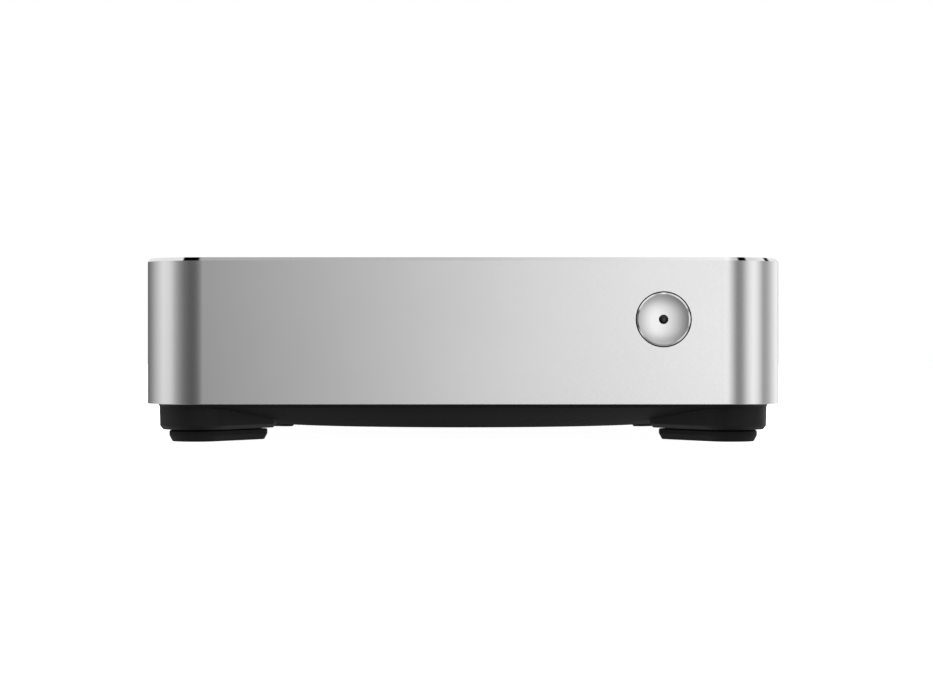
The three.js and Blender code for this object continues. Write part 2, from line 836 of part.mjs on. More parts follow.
function fanCoverGeometry() {
  const steps = 14;
  const half = housingHalf;
  const bend = Array.from({ length: 2 * steps + 1 }, (_, k) => {
    const angle = Math.PI + (Math.PI * k) / (2 * steps);
    return [half * Math.cos(angle), half * Math.sin(angle)];
  });
  const sheet = raised([[half, half], [-half, half], ...bend], 0, fanCoverThickness);
  return carve(sheet, rod(fanRadius - 6, -1, fanCoverThickness + 1, 0, 0, 40));
}

function impellerGeometry() {
  const cup = turned(
    [
      [0, fanHeight],
      [0, fanHeight - 1.4],
      [shaftRadius + fit, fanHeight - 1.4],
      [shaftRadius + fit, fanHeight - 2.8],
      [shaftRadius + 1.4, fanHeight - 2.8],
      [shaftRadius + 1.4, fanHeight - 1.4],
      [fanHubRadius - 1.6, fanHeight - 1.4],
      [fanHubRadius - 1.6, 0],
      [fanHubRadius, 0],
      [fanHubRadius, fanHeight],
      [0, fanHeight],
    ],
    28,
  );
  const web = carve(
    rod(fanRadius - 1, fanHeight / 2, fanHeight / 2 + 0.8, 0, 0, 44),
    rod(fanHubRadius - 0.8, 0, fanHeight, 0, 0, 28),
  );
  const blade = block([fanHubRadius + 3, -0.4, 0], [fanRadius, 0.4, fanHeight]);
  const pitched = blade.translate(-fanRadius, 0, 0).rotateZ(0.5).translate(fanRadius, 0, 0);
  const blades = Array.from({ length: fanBlades }, (_, k) =>
    pitched.clone().rotateZ((2 * Math.PI * k) / fanBlades),
  );
  return fuse(cup, web, ...blades);
}

function motorGeometry() {
  const bore = shaftRadius + swing;
  return turned(
    [
      [bore, 0],
      [motorRadius, 0],
      [motorRadius, fanHeight - 4.4],
      [bore, fanHeight - 4.4],
      [bore, 0],
    ],
    24,
  );
}

// ---------- Memory: heights run up from the board, and the module slides in towards +Y ----------
const latchX = moduleWidth / 2 + seat + latchThickness / 2;
const latchBottom = moduleLift - 0.4;
const latchTop = moduleLift + moduleThickness + seat + 0.9;
const latchRootY = -1.6;

function socketGeometry() {
  const half = moduleWidth / 2 + 3;
  const bar = block([-half, -1, 0], [half, 6, moduleLift + moduleThickness + 1.6]);
  const slot = block(
    [-moduleWidth / 2 - seat, -2, moduleLift - seat],
    [moduleWidth / 2 + seat, 3 + seat, moduleLift + moduleThickness + seat],
  );
  const arms = [-1, 1].map((side) =>
    block(
      [side * (half - 2.5) - 2.5, -latchLength - 3, 0],
      [side * (half - 2.5) + 2.5, 1, latchBottom - seat],
    ),
  );
  return carve(fuse(bar, ...arms), slot);
}

function moduleGeometry() {
  const half = moduleWidth / 2;
  const board = block([-half, 3 - moduleDepth, 0], [half, 3, moduleThickness]);
  const chips = [-2, -1, 1, 2].map((k) =>
    block([k * 13 - 5, -21, moduleThickness - 0.2], [k * 13 + 5, -9, moduleThickness + 1]),
  );
  const key = block([-8, 0.5, -1], [-6.4, 4, moduleThickness + 1]);
  return carve(fuse(board, ...chips), key);
}

// side is -1 for the left latch and 1 for the right; its root is at the origin.
function latchGeometry(side) {
  const half = latchThickness / 2;
  const leaf = block([-half, -latchLength, latchBottom], [half, 0, latchTop]);
  const hookZ = moduleLift + moduleThickness + seat;
  const inwards = side > 0 ? [-1.4, half] : [-half, 1.4];
  const hook = block([inwards[0], -latchLength, hookZ], [inwards[1], -latchLength + 4, latchTop]);
  return fuse(leaf, hook);
}

// ---------- Drive ----------
function driveGeometry() {
  const half = driveWidth / 2;
  const body = block([-half, 0, 0], [half, driveDepth, driveHeight]);
  const lidSeat = block(
    [-half + 2, 2, driveHeight - driveLid - fit],
    [half - 2, driveDepth - 12, driveHeight + 1],
  );
  const plugRecess = block([-20, driveDepth - 5, 1.2], [20, driveDepth + 1, 6.4]);
  const sideHoles = driveScrewY.map((y) =>
    rod(screwRadius + seat, 0, 4, 0, 0, 12).rotateY(Math.PI / 2).translate(-half - 1, y, driveScrewZ),
  );
  return carve(body, lidSeat, plugRecess, ...sideHoles);
}

const driveScrewY = [14, 76];
const driveScrewZ = 3;

function driveLidGeometry() {
  const half = driveWidth / 2 - 2 - fit;
  return block([-half, 2 + fit, driveHeight - driveLid], [half, driveDepth - 12 - fit, driveHeight]);
}

// A pressed sheet under the drive, with two legs to each side and a cheek on its left for screws.
function driveBracketGeometry() {
  const half = driveWidth / 2;
  const outer = half + seat + driveSheet;
  const plateRear = driveDepth - 16;
  const plate = block([-outer, 0, -seat - driveSheet], [outer, plateRear, -seat]);
  const window = block([-half + 10, 10, -seat - driveSheet - 1], [half - 10, plateRear - 10, 1]);
  const cheek = block([-outer, 6, -seat - driveSheet], [-half - seat, plateRear, driveScrewZ + 3.5]);
  const foot = boardTop + seat - driveBottom;
  const legs = [];
  for (const side of [-1, 1]) {
    for (const y of [boardFront - driveFront + 3, plateRear - legStrip]) {
      const [low, high] = [side * outer, side * (outer - driveSheet)].sort((a, b) => a - b);
      legs.push(block([low, y, foot], [high, y + legStrip, -seat]));
      const [toeLow, toeHigh] = [side * outer, side * (outer - toeWidth)].sort((a, b) => a - b);
      legs.push(block([toeLow, y, foot], [toeHigh, y + legStrip, foot + driveSheet]));
    }
  }
  const holes = driveScrewY.map((y) =>
    rod(screwRadius + seat, -3, 3, 0, 0, 12).rotateY(Math.PI / 2).translate(-half - seat, y, driveScrewZ),
  );
  return carve(fuse(plate, cheek, ...legs), window, ...holes);
}

// ---------- Coin cell ----------
const cellRadius = 10;
const cellHeight = 3.2;
const holderFloor = 1;

function cellHolderGeometry() {
  const top = cellHeight + holderFloor;
  const outer = rod(cellRadius + 2, 0, top, 0, 0, 32);
  const room = rod(cellRadius + seat, holderFloor, top + 1, 0, 0, 32);
  const access = block([cellRadius - 3, -4, holderFloor], [cellRadius + 4, 4, top + 1]);
  return carve(outer, room, access);
}

// ---------- Clip that centres the shell on the tray's rim ----------
function clipGeometry() {
  const rimInner = -(rimInset + rimWall + seat);
  const wall = -(shellWall + seat);
  const profile = [
    [rimInner - 0.5, rimTop - 1],
    [rimInner, rimTop - 1],
    [rimInner, rimTop + 0.5],
    [wall, rimTop + 4],
    [rimInner, rimTop + 8],
    [rimInner - 0.5, rimTop + 8],
    [wall - 0.6, rimTop + 4],
    [rimInner - 0.5, rimTop + 0.6],
  ];
  return raised(profile, -6, 6).rotateX(Math.PI / 2);
}

// ---------- Putting it together ----------
add("shell", shellGeometry(), materials.aluminium);
add("base_tray", trayGeometry(), materials.blackPlastic);
add("intake_grille", grilleGeometry(), materials.blackPlastic, [0, 0, bellyHeight]);
const padNames = ["foot_pad_front_left", "foot_pad_front_right", "foot_pad_rear_right", "foot_pad_rear_left"];
atCorners(padGeometry()).forEach((geometry, corner) => add(padNames[corner], geometry, materials.rubber));

add("rear_panel", panelGeometry(), materials.blackPlastic);
for (const [side, name] of [[-1, "panel_screw_right"], [1, "panel_screw_left"]]) {
  const place = [side * (notchHalfWidth - postInset), panelFace - 1 + fit, panelScrewZ];
  const holder = group(place, [-Math.PI / 2, 0, 0]);
  add(name, screw(panelThickness + 2), materials.screwSteel, [0, 0, 0], holder);
}
const connectorShapes = {
  dc_jack: [dcJack, materials.blackPlastic],
  video_port: [videoPort, materials.connectorShell],
  network_port: [networkPort, materials.connectorShell],
  data_ports_right: [dataPorts, materials.connectorShell],
  data_ports_left: [dataPorts, materials.connectorShell],
  audio_jacks: [audioJacks, materials.blackPlastic],
};
for (const [name, [shape, material]] of Object.entries(connectorShapes)) {
  const size = rearConnectors[name];
  add(name, shape(size), material, [size.x, connectorFace, connectorBase]);
}

const button = group([buttonX, -halfDepth, buttonZ], [-Math.PI / 2, 0, 0]);
add("power_button", capGeometry(), materials.aluminium, [0, 0, 0], button);
const lightPipe = rod(pipeRadius, dishDepth, stemEnd - 0.2, 0, 0, 20);
add("light_pipe", lightPipe, materials.smokedLens, [0, 0, 0], button);
add("button_spring", springGeometry(), materials.springSteel, [0, 0, 0], button);
add("button_guide", guideGeometry(), materials.blackPlastic, [0, 0, 0], button);
const plungerTube = carve(
  rod(plungerOuter, plungerFront, plungerFront + plungerLength, 0, 0, 24),
  rod(plungerInner, plungerFront - 1, plungerFront + plungerLength + 1, 0, 0, 24),
);
add("switch_plunger", plungerTube, materials.blackPlastic, [0, 0, 0], button);
add("switch_body", switchGeometry(), materials.blackPlastic, [0, 0, 0], button);
const led = rod(plungerInner - seat, plungerFront + 1, switchBack - 0.6 - fit, 0, 0, 16);
add("status_led", led, materials.smokedLens, [0, 0, 0], button);
const switchBoard = block(
  [-switchBoardWidth / 2, -switchBoardHeight / 2, switchBack + seat],
  [switchBoardWidth / 2, switchBoardHeight / 2, switchBack + seat + switchBoardThickness],
);
add("switch_board", switchBoard, materials.circuitBoard, [0, 0, 0], button);
add("switch_bracket", bracketGeometry(), materials.blackPlastic, [buttonX, 0, 0]);
const bracketScrewZ = boardBottom + bracketThickness + fit;
add("bracket_screw", screw(2.6), materials.screwSteel, [buttonX, bracketFootY, bracketScrewZ]);

add("mainboard", boardGeometry(), materials.circuitBoard);
boardScrews.forEach(([x, y], k) => {
  add(`board_screw_${k + 1}`, screw(4), materials.screwSteel, [x, y, boardTop + fit]);
});

const processor = block([-cpuSize / 2, -cpuSize / 2, 0], [cpuSize / 2, cpuSize / 2, cpuHeight]);
add("processor", processor, materials.chip, [cpuX, cpuY, boardTop + seat]);
add("cold_plate", plateGeometry(), materials.copper, [cpuX, cpuY, plateBottom]);
coolerScrews().forEach(([x, y], k) => {
  const place = [cpuX + x, cpuY + y, plateBottom + armThickness + fit];
  add(`cooler_screw_${k + 1}`, screw(plateBottom - boardTop - 2 * fit), materials.screwSteel, place);
});
add("heat_pipe", heatPipeGeometry(), materials.copper);
add("fin_stack", finGeometry(), materials.finAluminium);
add("blower_housing", housingGeometry(), materials.blackPlastic, [fanX, fanY, housingBottom]);
add("blower_cover", fanCoverGeometry(), materials.sheetSteel, [fanX, fanY, housingTop + fit]);
add("fan_motor", motorGeometry(), materials.chip, [fanX, fanY, housingBottom + housingFloor + fit]);
add("fan_impeller", impellerGeometry(), materials.blackPlastic, [fanX, fanY, fanBottom]);
const shaft = rod(shaftRadius, -0.9, fanHeight - 1.4 - fit, 0, 0, 16);
add("fan_shaft", shaft, materials.springSteel, [fanX, fanY, fanBottom]);

const socketZ = boardTop + seat;
add("memory_socket", socketGeometry(), materials.blackPlastic, [memoryX, memoryY, socketZ]);
add("memory_module", moduleGeometry(), materials.circuitBoard, [memoryX, memoryY, socketZ + moduleLift]);
for (const [side, name] of [[-1, "memory_latch_left"], [1, "memory_latch_right"]]) {
  const root = [memoryX + side * latchX, memoryY + latchRootY, socketZ];
  add(name, latchGeometry(side), materials.springSteel, root);
}

const drive = group([driveX, driveFront, driveBottom]);
add("drive_body", driveGeometry(), materials.finAluminium, [0, 0, 0], drive);
add("drive_lid", driveLidGeometry(), materials.sheetSteel, [0, 0, 0], drive);
add("drive_bracket", driveBracketGeometry(), materials.sheetSteel, [0, 0, 0], drive);
driveScrewY.forEach((y, k) => {
  const holder = new THREE.Group();
  holder.position.set(-driveWidth / 2 - seat - driveSheet - fit, y, driveScrewZ);
  holder.rotation.set(0, -Math.PI / 2, 0);
  drive.add(holder);
  add(`drive_screw_${k + 1}`, screw(3.6), materials.screwSteel, [0, 0, 0], holder);
});

const drivePlugY = driveFront + driveDepth;
const plugZ = driveBottom + 3.8;
const headerTop = boardTop + 4.2 + seat;
const driveLead = tube(
  [
    [driveX + 12, drivePlugY + 3, plugZ],
    [driveX + 24, drivePlugY + 8, plugZ],
    [driveX + 36, drivePlugY + 5, plugZ - 2],
    [driveHeader[0] - 1, driveHeader[1] + 9, plugZ - 9],
    [driveHeader[0], driveHeader[1] + 2, headerTop + 6],
    [...driveHeader, headerTop + 2],
  ],
  1.6,
  22,
);
const drivePlug = block(
  [driveX - 19, drivePlugY - 4.6, driveBottom + 1.6],
  [driveX + 19, drivePlugY + 4, driveBottom + 6],
);
const headerPlug = block(
  [driveHeader[0] - 3, driveHeader[1] - 8.5, headerTop],
  [driveHeader[0] + 3, driveHeader[1] + 8.5, headerTop + 4],
);
add("drive_cable", fuse(driveLead, drivePlug, headerPlug), materials.cable);

const switchBoardY = -halfDepth + switchBack + seat + switchBoardThickness;
const switchLead = tube(
  [
    [buttonX + 10.5, switchBoardY - 2, buttonZ - 6],
    [buttonX + 11, switchBoardY + 2, buttonZ - 10],
    [buttonX + 11.5, switchBoardY + 7, buttonZ - 14],
    [switchHeader[0], switchHeader[1] - 1, boardTop + 7],
    [switchHeader[0], switchHeader[1], boardTop + 2.2 + seat],
  ],
  0.9,
  16,
);
const leadPlug = block(
  [buttonX + switchBoardWidth / 2 + seat, switchBoardY - 3.2, buttonZ - 8],
  [buttonX + switchBoardWidth / 2 + seat + 3.6, switchBoardY - 0.6, buttonZ - 3],
);
add("switch_cable", fuse(switchLead, leadPlug), materials.cable);

const cardX = 66;
const cardRear = 20.7;
const cardLift = 2.4 + seat;
const card = fuse(
  block([-11, -0.3, 0], [11, 29.7, 0.8]),
  block([-8.5, 8, 0.6], [8.5, 25, 2.4]),
);
add("wireless_card", card, materials.circuitBoard, [cardX, cardRear, boardTop + cardLift]);
const antennaBack = panelBack - seat;
const antennaX = 30;
const antenna = block([antennaX - 16, antennaBack - 0.5, 32.6], [antennaX + 16, antennaBack, 38.6]);
add("antenna", antenna, materials.chip);
const antennaLead = tube(
  [
    [cardX - 9.5, cardRear + 5, boardTop + cardLift + 2.2],
    [cardX - 13, cardRear + 16, boardTop + cardLift + 5],
    [cardX - 22, cardRear + 34, boardTop + 12],
    [antennaX + 6, antennaBack - 22, 32],
    [antennaX + 2, antennaBack - 8, 35.5],
    [antennaX + 2, antennaBack - 0.5 - seat, 35.6],
  ],
  0.6,
  24,
);
add("antenna_cable", antennaLead, materials.cable);

const [cellX, cellY] = [-66, -36];
add("coin_cell_holder", cellHolderGeometry(), materials.blackPlastic, [cellX, cellY, boardTop + seat]);
const coinCell = rod(cellRadius, 0, cellHeight, 0, 0, 32);
add("coin_cell", coinCell, materials.cell, [cellX, cellY, boardTop + seat + holderFloor + seat]);

for (const [side, name] of [[1, "shell_clip_right"], [-1, "shell_clip_left"]]) {
  const holder = group([side * halfWidth, 0, 0], [0, 0, side > 0 ? 0 : Math.PI]);
  add(name, clipGeometry(), materials.springSteel, [0, 0, 0], holder);
}

export default computer;
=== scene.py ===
import math
import random

import bmesh
import bpy
from mathutils import Matrix, Vector


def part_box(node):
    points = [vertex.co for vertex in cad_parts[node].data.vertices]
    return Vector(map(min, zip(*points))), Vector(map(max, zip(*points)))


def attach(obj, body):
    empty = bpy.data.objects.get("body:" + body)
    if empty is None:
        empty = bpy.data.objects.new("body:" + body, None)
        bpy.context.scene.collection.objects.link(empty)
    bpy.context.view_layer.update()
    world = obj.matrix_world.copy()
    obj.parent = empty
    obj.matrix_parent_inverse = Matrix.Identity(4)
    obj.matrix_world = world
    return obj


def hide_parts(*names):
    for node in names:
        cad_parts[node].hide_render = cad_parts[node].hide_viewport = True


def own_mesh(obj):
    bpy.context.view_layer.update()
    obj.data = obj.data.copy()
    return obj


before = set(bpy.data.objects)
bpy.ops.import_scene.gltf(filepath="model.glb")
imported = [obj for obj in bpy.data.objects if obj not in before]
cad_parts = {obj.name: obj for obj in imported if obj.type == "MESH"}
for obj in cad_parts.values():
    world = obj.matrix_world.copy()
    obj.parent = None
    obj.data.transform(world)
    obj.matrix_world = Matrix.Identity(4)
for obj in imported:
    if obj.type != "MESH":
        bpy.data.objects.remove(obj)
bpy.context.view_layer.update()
scene = bpy.context.scene
mm = 0.001  # every size below is in millimetres, and this turns it to metres
left, right, rear, up = (Vector(v) for v in ((-1, 0, 0), (1, 0, 0), (0, 1, 0), (0, 0, 1)))
print("frame loaded")


def linear(hexColour):
    channels = [int(hexColour[k:k + 2], 16) / 255 for k in (1, 3, 5)]
    return [c / 12.92 if c <= 0.04045 else ((c + 0.055) / 1.055) ** 2.4 for c in channels] + [1]


# Adds a node with its settings and links; stops are a colour ramp's (position, linear colour) pairs.
def addNode(tree, kind, inputs=None, stops=None, **settings):
    node = tree.nodes.new("ShaderNode" + kind)
    for name, value in settings.items():
        setattr(node, name, value)
    for socket, value in (inputs or {}).items():
        if isinstance(value, bpy.types.NodeSocket):
            tree.links.new(value, node.inputs[socket])
        else:
            node.inputs[socket].default_value = value
    if stops:
        elements = node.color_ramp.elements
        elements.remove(elements[0])
        elements[0].position, elements[0].color = stops[-1]
        for position, colour in stops[:-1]:
            elements.new(position).color = colour
    return node


def newMaterial(name, **shaderValues):
    material = bpy.data.materials.new(name)
    material.use_nodes = True
    tree = material.node_tree
    shader = tree.nodes["Principled BSDF"]
    for socket, value in shaderValues.items():
        shader.inputs[socket.replace("_", " ")].default_value = value
    return material, tree, shader, addNode(tree, "TexCoord").outputs["Object"]


# Colour drifts between two hex values and roughness between two numbers; the grain is bumped.
# A stretch of (1, 20, 1) draws the grain out along X and Z, as a brush or a roller does.
def surfaceMaterial(name, colours, roughness, grain, height, drift=40.0, stretch=(1, 1, 1), **shaderValues):
    material, tree, shader, spot = newMaterial(name, **shaderValues)
    drifting = addNode(tree, "TexNoise", {"Vector": spot, "Scale": 1 / (drift * mm),
                                          "Detail": 4.0}).outputs["Fac"]
    drawn = addNode(tree, "VectorMath", {0: spot, 1: stretch}, operation="MULTIPLY").outputs[0]
    grit = addNode(tree, "TexNoise", {"Vector": drawn, "Scale": 1 / (grain * mm), "Detail": 3.0,
                                      "Roughness": 0.6}).outputs["Fac"]
    tone = addNode(tree, "ValToRGB", {"Fac": drifting},
                   [(0.3, linear(colours[0])), (0.7, linear(colours[1]))])
    shine = addNode(tree, "MapRange", {"Value": grit, "From Min": 0.3, "From Max": 0.7,
                                       "To Min": roughness[0], "To Max": roughness[1]})
    bump = addNode(tree, "Bump", {"Height": grit, "Strength": 1.0, "Distance": height * mm})
    tree.links.new(tone.outputs["Color"], shader.inputs["Base Color"])
    tree.links.new(shine.outputs["Result"], shader.inputs["Roughness"])
    tree.links.new(bump.outputs["Normal"], shader.inputs["Normal"])
    return material, tree, tone.outputs["Color"], spot


# Lays a second colour over a material's first where a mask is white.
def overlay(tree, first, mask, hexColour):
    mixed = addNode(tree, "Mix", {0: mask, 6: first, 7: linear(hexColour)}, data_type="RGBA").outputs[2]
    tree.links.new(mixed, tree.nodes["Principled BSDF"].inputs["Base Color"])
    return mixed


# Aluminium, extruded, bead-blasted and clear anodised: an even satin with a grit that is only just there.
# The real grit is about 0.05 mm. It is drawn at 0.3 mm so that it shows at all.
def anodisedAluminium():
    return surfaceMaterial("anodisedAluminium", ("#D2D2D2", "#D7D7D7"), (0.17, 0.21), 0.3, 0.0008, 60,
                           Metallic=1.0)[0]


# Aluminium, diamond cut after blasting: nearly a mirror, with the cutter's faint lines.
def diamondCutAluminium():
    return surfaceMaterial("diamondCutAluminium", ("#E5E5E5", "#E9E9E9"), (0.03, 0.06), 0.4, 0.0003,
                           Metallic=1.0)[0]


# Aluminium, fine turned and then anodised: a little glossier than the blasted shell.
def turnedAluminium():
    return surfaceMaterial("turnedAluminium", ("#D0D0D0", "#D4D4D4"), (0.13, 0.16), 0.3, 0.0005, 60,
                           Metallic=1.0)[0]


# ABS and polycarbonate blend, moulded in a spark-eroded tool: black with a fine leathery dullness.
def mouldedAbs():
    return surfaceMaterial("mouldedAbs", ("#151517", "#19191B"), (0.45, 0.58), 0.5, 0.012,
                           Specular_IOR_Level=0.25)[0]


# Silicone rubber, moulded: dead matt, with a little dust that greys it in patches.
def mouldedRubber():
    material, tree, tone, spot = surfaceMaterial("mouldedRubber", ("#0D0D0E", "#131314"), (0.65, 0.8), 0.35,
                                                 0.015, Specular_IOR_Level=0.3)
    dust = addNode(tree, "TexNoise", {"Vector": spot, "Scale": 1 / (9 * mm), "Detail": 8.0}).outputs["Fac"]
    mask = addNode(tree, "MapRange", {"Value": dust, "From Min": 0.55, "From Max": 0.8,
                                      "To Max": 0.25}).outputs[0]
    overlay(tree, tone, mask, "#3A3A3B")
    return material


# Acrylic, moulded and smoked: glossy and almost black until the light behind it is on.
def smokedAcrylic():
    return surfaceMaterial("smokedAcrylic", ("#060708", "#0A0B0D"), (0.05, 0.1), 1.5, 0.001, IOR=1.49)[0]


# Nylon filled with glass fibre, moulded: black with a slight sheen and pale flecks of fibre at the skin.
# The fibres are 0.3 mm long and far too thin to show, so the flecks are drawn 0.15 mm wide.
def glassFilledNylon(name="glassFilledNylon", colours=("#1A1A1C", "#202022")):
    material, tree, tone, spot = surfaceMaterial(name, colours, (0.32, 0.48), 0.6, 0.01, IOR=1.53)
    drawn = addNode(tree, "VectorMath", {0: spot, 1: (1, 1, 4)}, operation="MULTIPLY").outputs[0]
    fleck = addNode(tree, "TexNoise", {"Vector": drawn, "Scale": 1 / (0.6 * mm),
                                       "Detail": 1.0}).outputs["Fac"]
    mask = addNode(tree, "MapRange", {"Value": fleck, "From Min": 0.66, "From Max": 0.74, "To Max": 0.35})
    overlay(tree, tone, mask.outputs[0], "#5A5A5C")
    return material


# Steel strip, tin plated and folded: bright, with long faint roll lines.
def tinPlatedSteel():
    return surfaceMaterial("tinPlatedSteel", ("#C9CBCD", "#D6D7D8"), (0.18, 0.32), 0.25, 0.0015, 12,
                           (1, 0.08, 1), Metallic=1.0)[0]


# Copper alloy contacts, gold plated: warm and even.
def goldPlate():
    return surfaceMaterial("goldPlate", ("#E2B865", "#EBC676"), (0.2, 0.28), 0.2, 0.0005, 6, Metallic=1.0)[0]


# Copper, milled: pink-orange, brushed by the cutter, and browner where fingers have been.
def milledCopper(name="milledCopper", stretch=(1, 0.06, 1)):
    material, tree, tone, spot = surfaceMaterial(name, ("#C98362", "#D79472"), (0.2, 0.34), 0.3, 0.002, 14,
                                                 stretch, Metallic=1.0)
    stain = addNode(tree, "TexNoise", {"Vector": spot, "Scale": 1 / (11 * mm), "Detail": 6.0}).outputs["Fac"]
    mask = addNode(tree, "MapRange", {"Value": stain, "From Min": 0.5, "From Max": 0.75,
                                      "To Max": 0.5}).outputs[0]
    overlay(tree, tone, mask, "#9C5A3C")
    return material


# Aluminium sheet, stamped and left bare: a cool grey with roll lines.
def stampedAluminium():
    return surfaceMaterial("stampedAluminium", ("#B9BCBF", "#C8CACC"), (0.25, 0.4), 0.3, 0.002, 18,
                           (1, 1, 0.08), Metallic=1.0)[0]


# Aluminium, die cast and tumbled: grey and finely pitted.
def castAluminium():
    material, tree, tone, spot = surfaceMaterial("castAluminium", ("#9EA1A4", "#ABAEB0"), (0.38, 0.55), 0.5,
                                                 0.02, 22, Metallic=1.0)
    pits = addNode(tree, "TexVoronoi", {"Vector": spot, "Scale": 1 / (1.6 * mm)}).outputs["Distance"]
    mask = addNode(tree, "MapRange", {"Value": pits, "From Min": 0.0, "From Max": 0.12, "To Min": 0.5,
                                      "To Max": 0})
    overlay(tree, tone, mask.outputs[0], "#6F7173")
    return material


# Steel sheet, zinc plated: grey with the soft crystal patches of the bath.
def zincPlatedSteel():
    material, tree, tone, spot = surfaceMaterial("zincPlatedSteel", ("#A6A9AB", "#B7B9BA"), (0.3, 0.45), 0.4,
                                                 0.003, 10, Metallic=1.0)
    spangle = addNode(tree, "TexVoronoi", {"Vector": spot, "Scale": 1 / (5 * mm)}).outputs["Color"]
    mask = addNode(tree, "MapRange", {"Value": spangle, "From Min": 0.0, "From Max": 1.0, "To Max": 0.3})
    overlay(tree, tone, mask.outputs[0], "#8C9194")
    return material


# Spring steel, rolled and polished: darker than the plated sheet, with fine lines.
def springSteel():
    return surfaceMaterial("springSteel", ("#A3A5A6", "#B0B1B1"), (0.16, 0.28), 0.2, 0.001, 9, (1, 1, 0.1),
                           Metallic=1.0)[0]


# Steel screws, black zinc plated: nearly black, with bare steel showing through in specks.
def blackZincSteel():
    material, tree, tone, spot = surfaceMaterial("blackZincSteel", ("#26272A", "#303135"), (0.28, 0.42), 0.25,
                                                 0.002, 5, Metallic=1.0)
    worn = addNode(tree, "TexNoise", {"Vector": spot, "Scale": 1 / (0.7 * mm), "Detail": 5.0}).outputs["Fac"]
    mask = addNode(tree, "MapRange", {"Value": worn, "From Min": 0.62, "From Max": 0.72,
                                      "To Max": 0.6}).outputs[0]
    overlay(tree, tone, mask, "#7A7C7E")
    return material


# Glass-epoxy board under green solder mask: glossy, with paler copper tracks under the green.
# Real tracks are 0.1 mm wide. They are drawn 0.4 mm wide so that they show.
def solderMask():
    material, tree, tone, spot = surfaceMaterial("solderMask", ("#0C2A21", "#103126"), (0.22, 0.3), 0.8,
                                                 0.004, 25, IOR=1.5)
    bent = addNode(tree, "VectorRotate", {"Vector": spot, "Angle": math.pi / 4},
                   rotation_type="Z_AXIS").outputs[0]
    field = addNode(tree, "TexVoronoi", {"Vector": spot, "Scale": 1 / (22 * mm)}, distance="CHEBYCHEV")
    choice = addNode(tree, "MapRange", {"Value": field.outputs["Color"], "From Min": 0.45, "From Max": 0.55})
    lie = addNode(tree, "Mix", {0: choice.outputs[0], 4: spot, 5: bent}, data_type="VECTOR").outputs[1]
    track = addNode(tree, "TexBrick", {"Vector": lie, "Scale": 1 / mm, "Mortar Size": 0.2,
                                       "Brick Width": 17.0, "Row Height": 1.9,
                                       "Mortar Smooth": 0.3}).outputs["Fac"]
    mask = addNode(tree, "Math", {0: track, 1: 0.45}, operation="MULTIPLY").outputs[0]
    overlay(tree, tone, mask, "#24553F")
    return material


# Epoxy resin, transfer moulded round a chip: charcoal with a fine sandy skin.
def mouldedEpoxy():
    return surfaceMaterial("mouldedEpoxy", ("#1B1B1D", "#222224"), (0.45, 0.6), 0.3, 0.008, 8)[0]


# Ferrite powder, pressed and sintered: mid grey, dry and grainy.
def sinteredFerrite():
    return surfaceMaterial("sinteredFerrite", ("#4A4B4D", "#565759"), (0.5, 0.7), 0.35, 0.015, 6)[0]


# Aluminium foil can of a capacitor, drawn and coated: bright, with a soft haze.
def drawnCan():
    return surfaceMaterial("drawnCan", ("#C2C5C9", "#D0D2D5"), (0.24, 0.36), 0.5, 0.002, 4, Metallic=1.0)[0]


# Soft PVC, extruded over wire: dull, with a slight waviness along its length.
def extrudedPvc(name="extrudedPvc", colours=("#1B1C1E", "#242528")):
    return surfaceMaterial(name, colours, (0.42, 0.58), 1.2, 0.01, 15, IOR=1.53)[0]


# Steel, nickel plated and spun: bright, slightly warm, lightly scuffed.
def nickelPlate():
    return surfaceMaterial("nickelPlate", ("#CDCBC6", "#D8D6D1"), (0.14, 0.3), 0.35, 0.001, 7,
                           Metallic=1.0)[0]


# Coated paper label, left blank: off-white with a trace of fibre.
def coatedPaper():
    return surfaceMaterial("coatedPaper", ("#D9D8D3", "#E2E1DC"), (0.4, 0.55), 0.4, 0.004, 12)[0]


# Polyimide film, laminated: amber-black and glossy.
def polyimideFilm():
    return surfaceMaterial("polyimideFilm", ("#1E1510", "#2A1D14"), (0.18, 0.28), 0.9, 0.003, 10, IOR=1.6)[0]


# Clear epoxy, cast round a diode: milky and glossy.
def castClearEpoxy():
    return surfaceMaterial("castClearEpoxy", ("#CFD4D2", "#DCE0DE"), (0.08, 0.14), 0.8, 0.001, 3, IOR=1.55)[0]


def nodeBox(name):
    low, high = (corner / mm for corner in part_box(name))
    return low, high, (low + high) / 2


# Skin over rings of equal point counts; skin is the index of the material that its faces take.
def loft(rings, closed=False, build=None, skin=0):
    build = build or bmesh.new()
    rows = [[build.verts.new(point) for point in ring] for ring in rings]
    pairs = list(zip(rows, rows[1:])) + ([(rows[-1], rows[0])] if closed else [])
    faces = [build.faces.new((low[k - 1], low[k], high[k], high[k - 1]))
             for low, high in pairs for k in range(len(low))]
    if not closed:
        faces += [build.faces.new(list(reversed(rows[0]))), build.faces.new(rows[-1])]
    for face in faces:
        face.material_index = skin
    return build


def lift(outline, z):
    return [Vector((x, y, z)) for x, y in outline]


def circle(radius, steps=48, centre=(0, 0)):
    turns = [2 * math.pi * k / steps for k in range(steps)]
    return [(centre[0] + radius * math.cos(a), centre[1] + radius * math.sin(a)) for a in turns]


# A profile of (radius, height) pairs turned round Z; closed profiles make rings.
def turned(profile, steps=48, closed=False, centre=(0, 0), build=None, skin=0):
    return loft([lift(circle(radius, steps, centre), height) for radius, height in profile], closed, build,
                skin)


def plate(outline, low, high, build=None, skin=0):
    return loft([lift(outline, low), lift(outline, high)], build=build, skin=skin)


def block(low, high, build=None, skin=0):
    corners = [(low[0], low[1]), (high[0], low[1]), (high[0], high[1]), (low[0], high[1])]
    return plate(corners, low[2], high[2], build, skin)


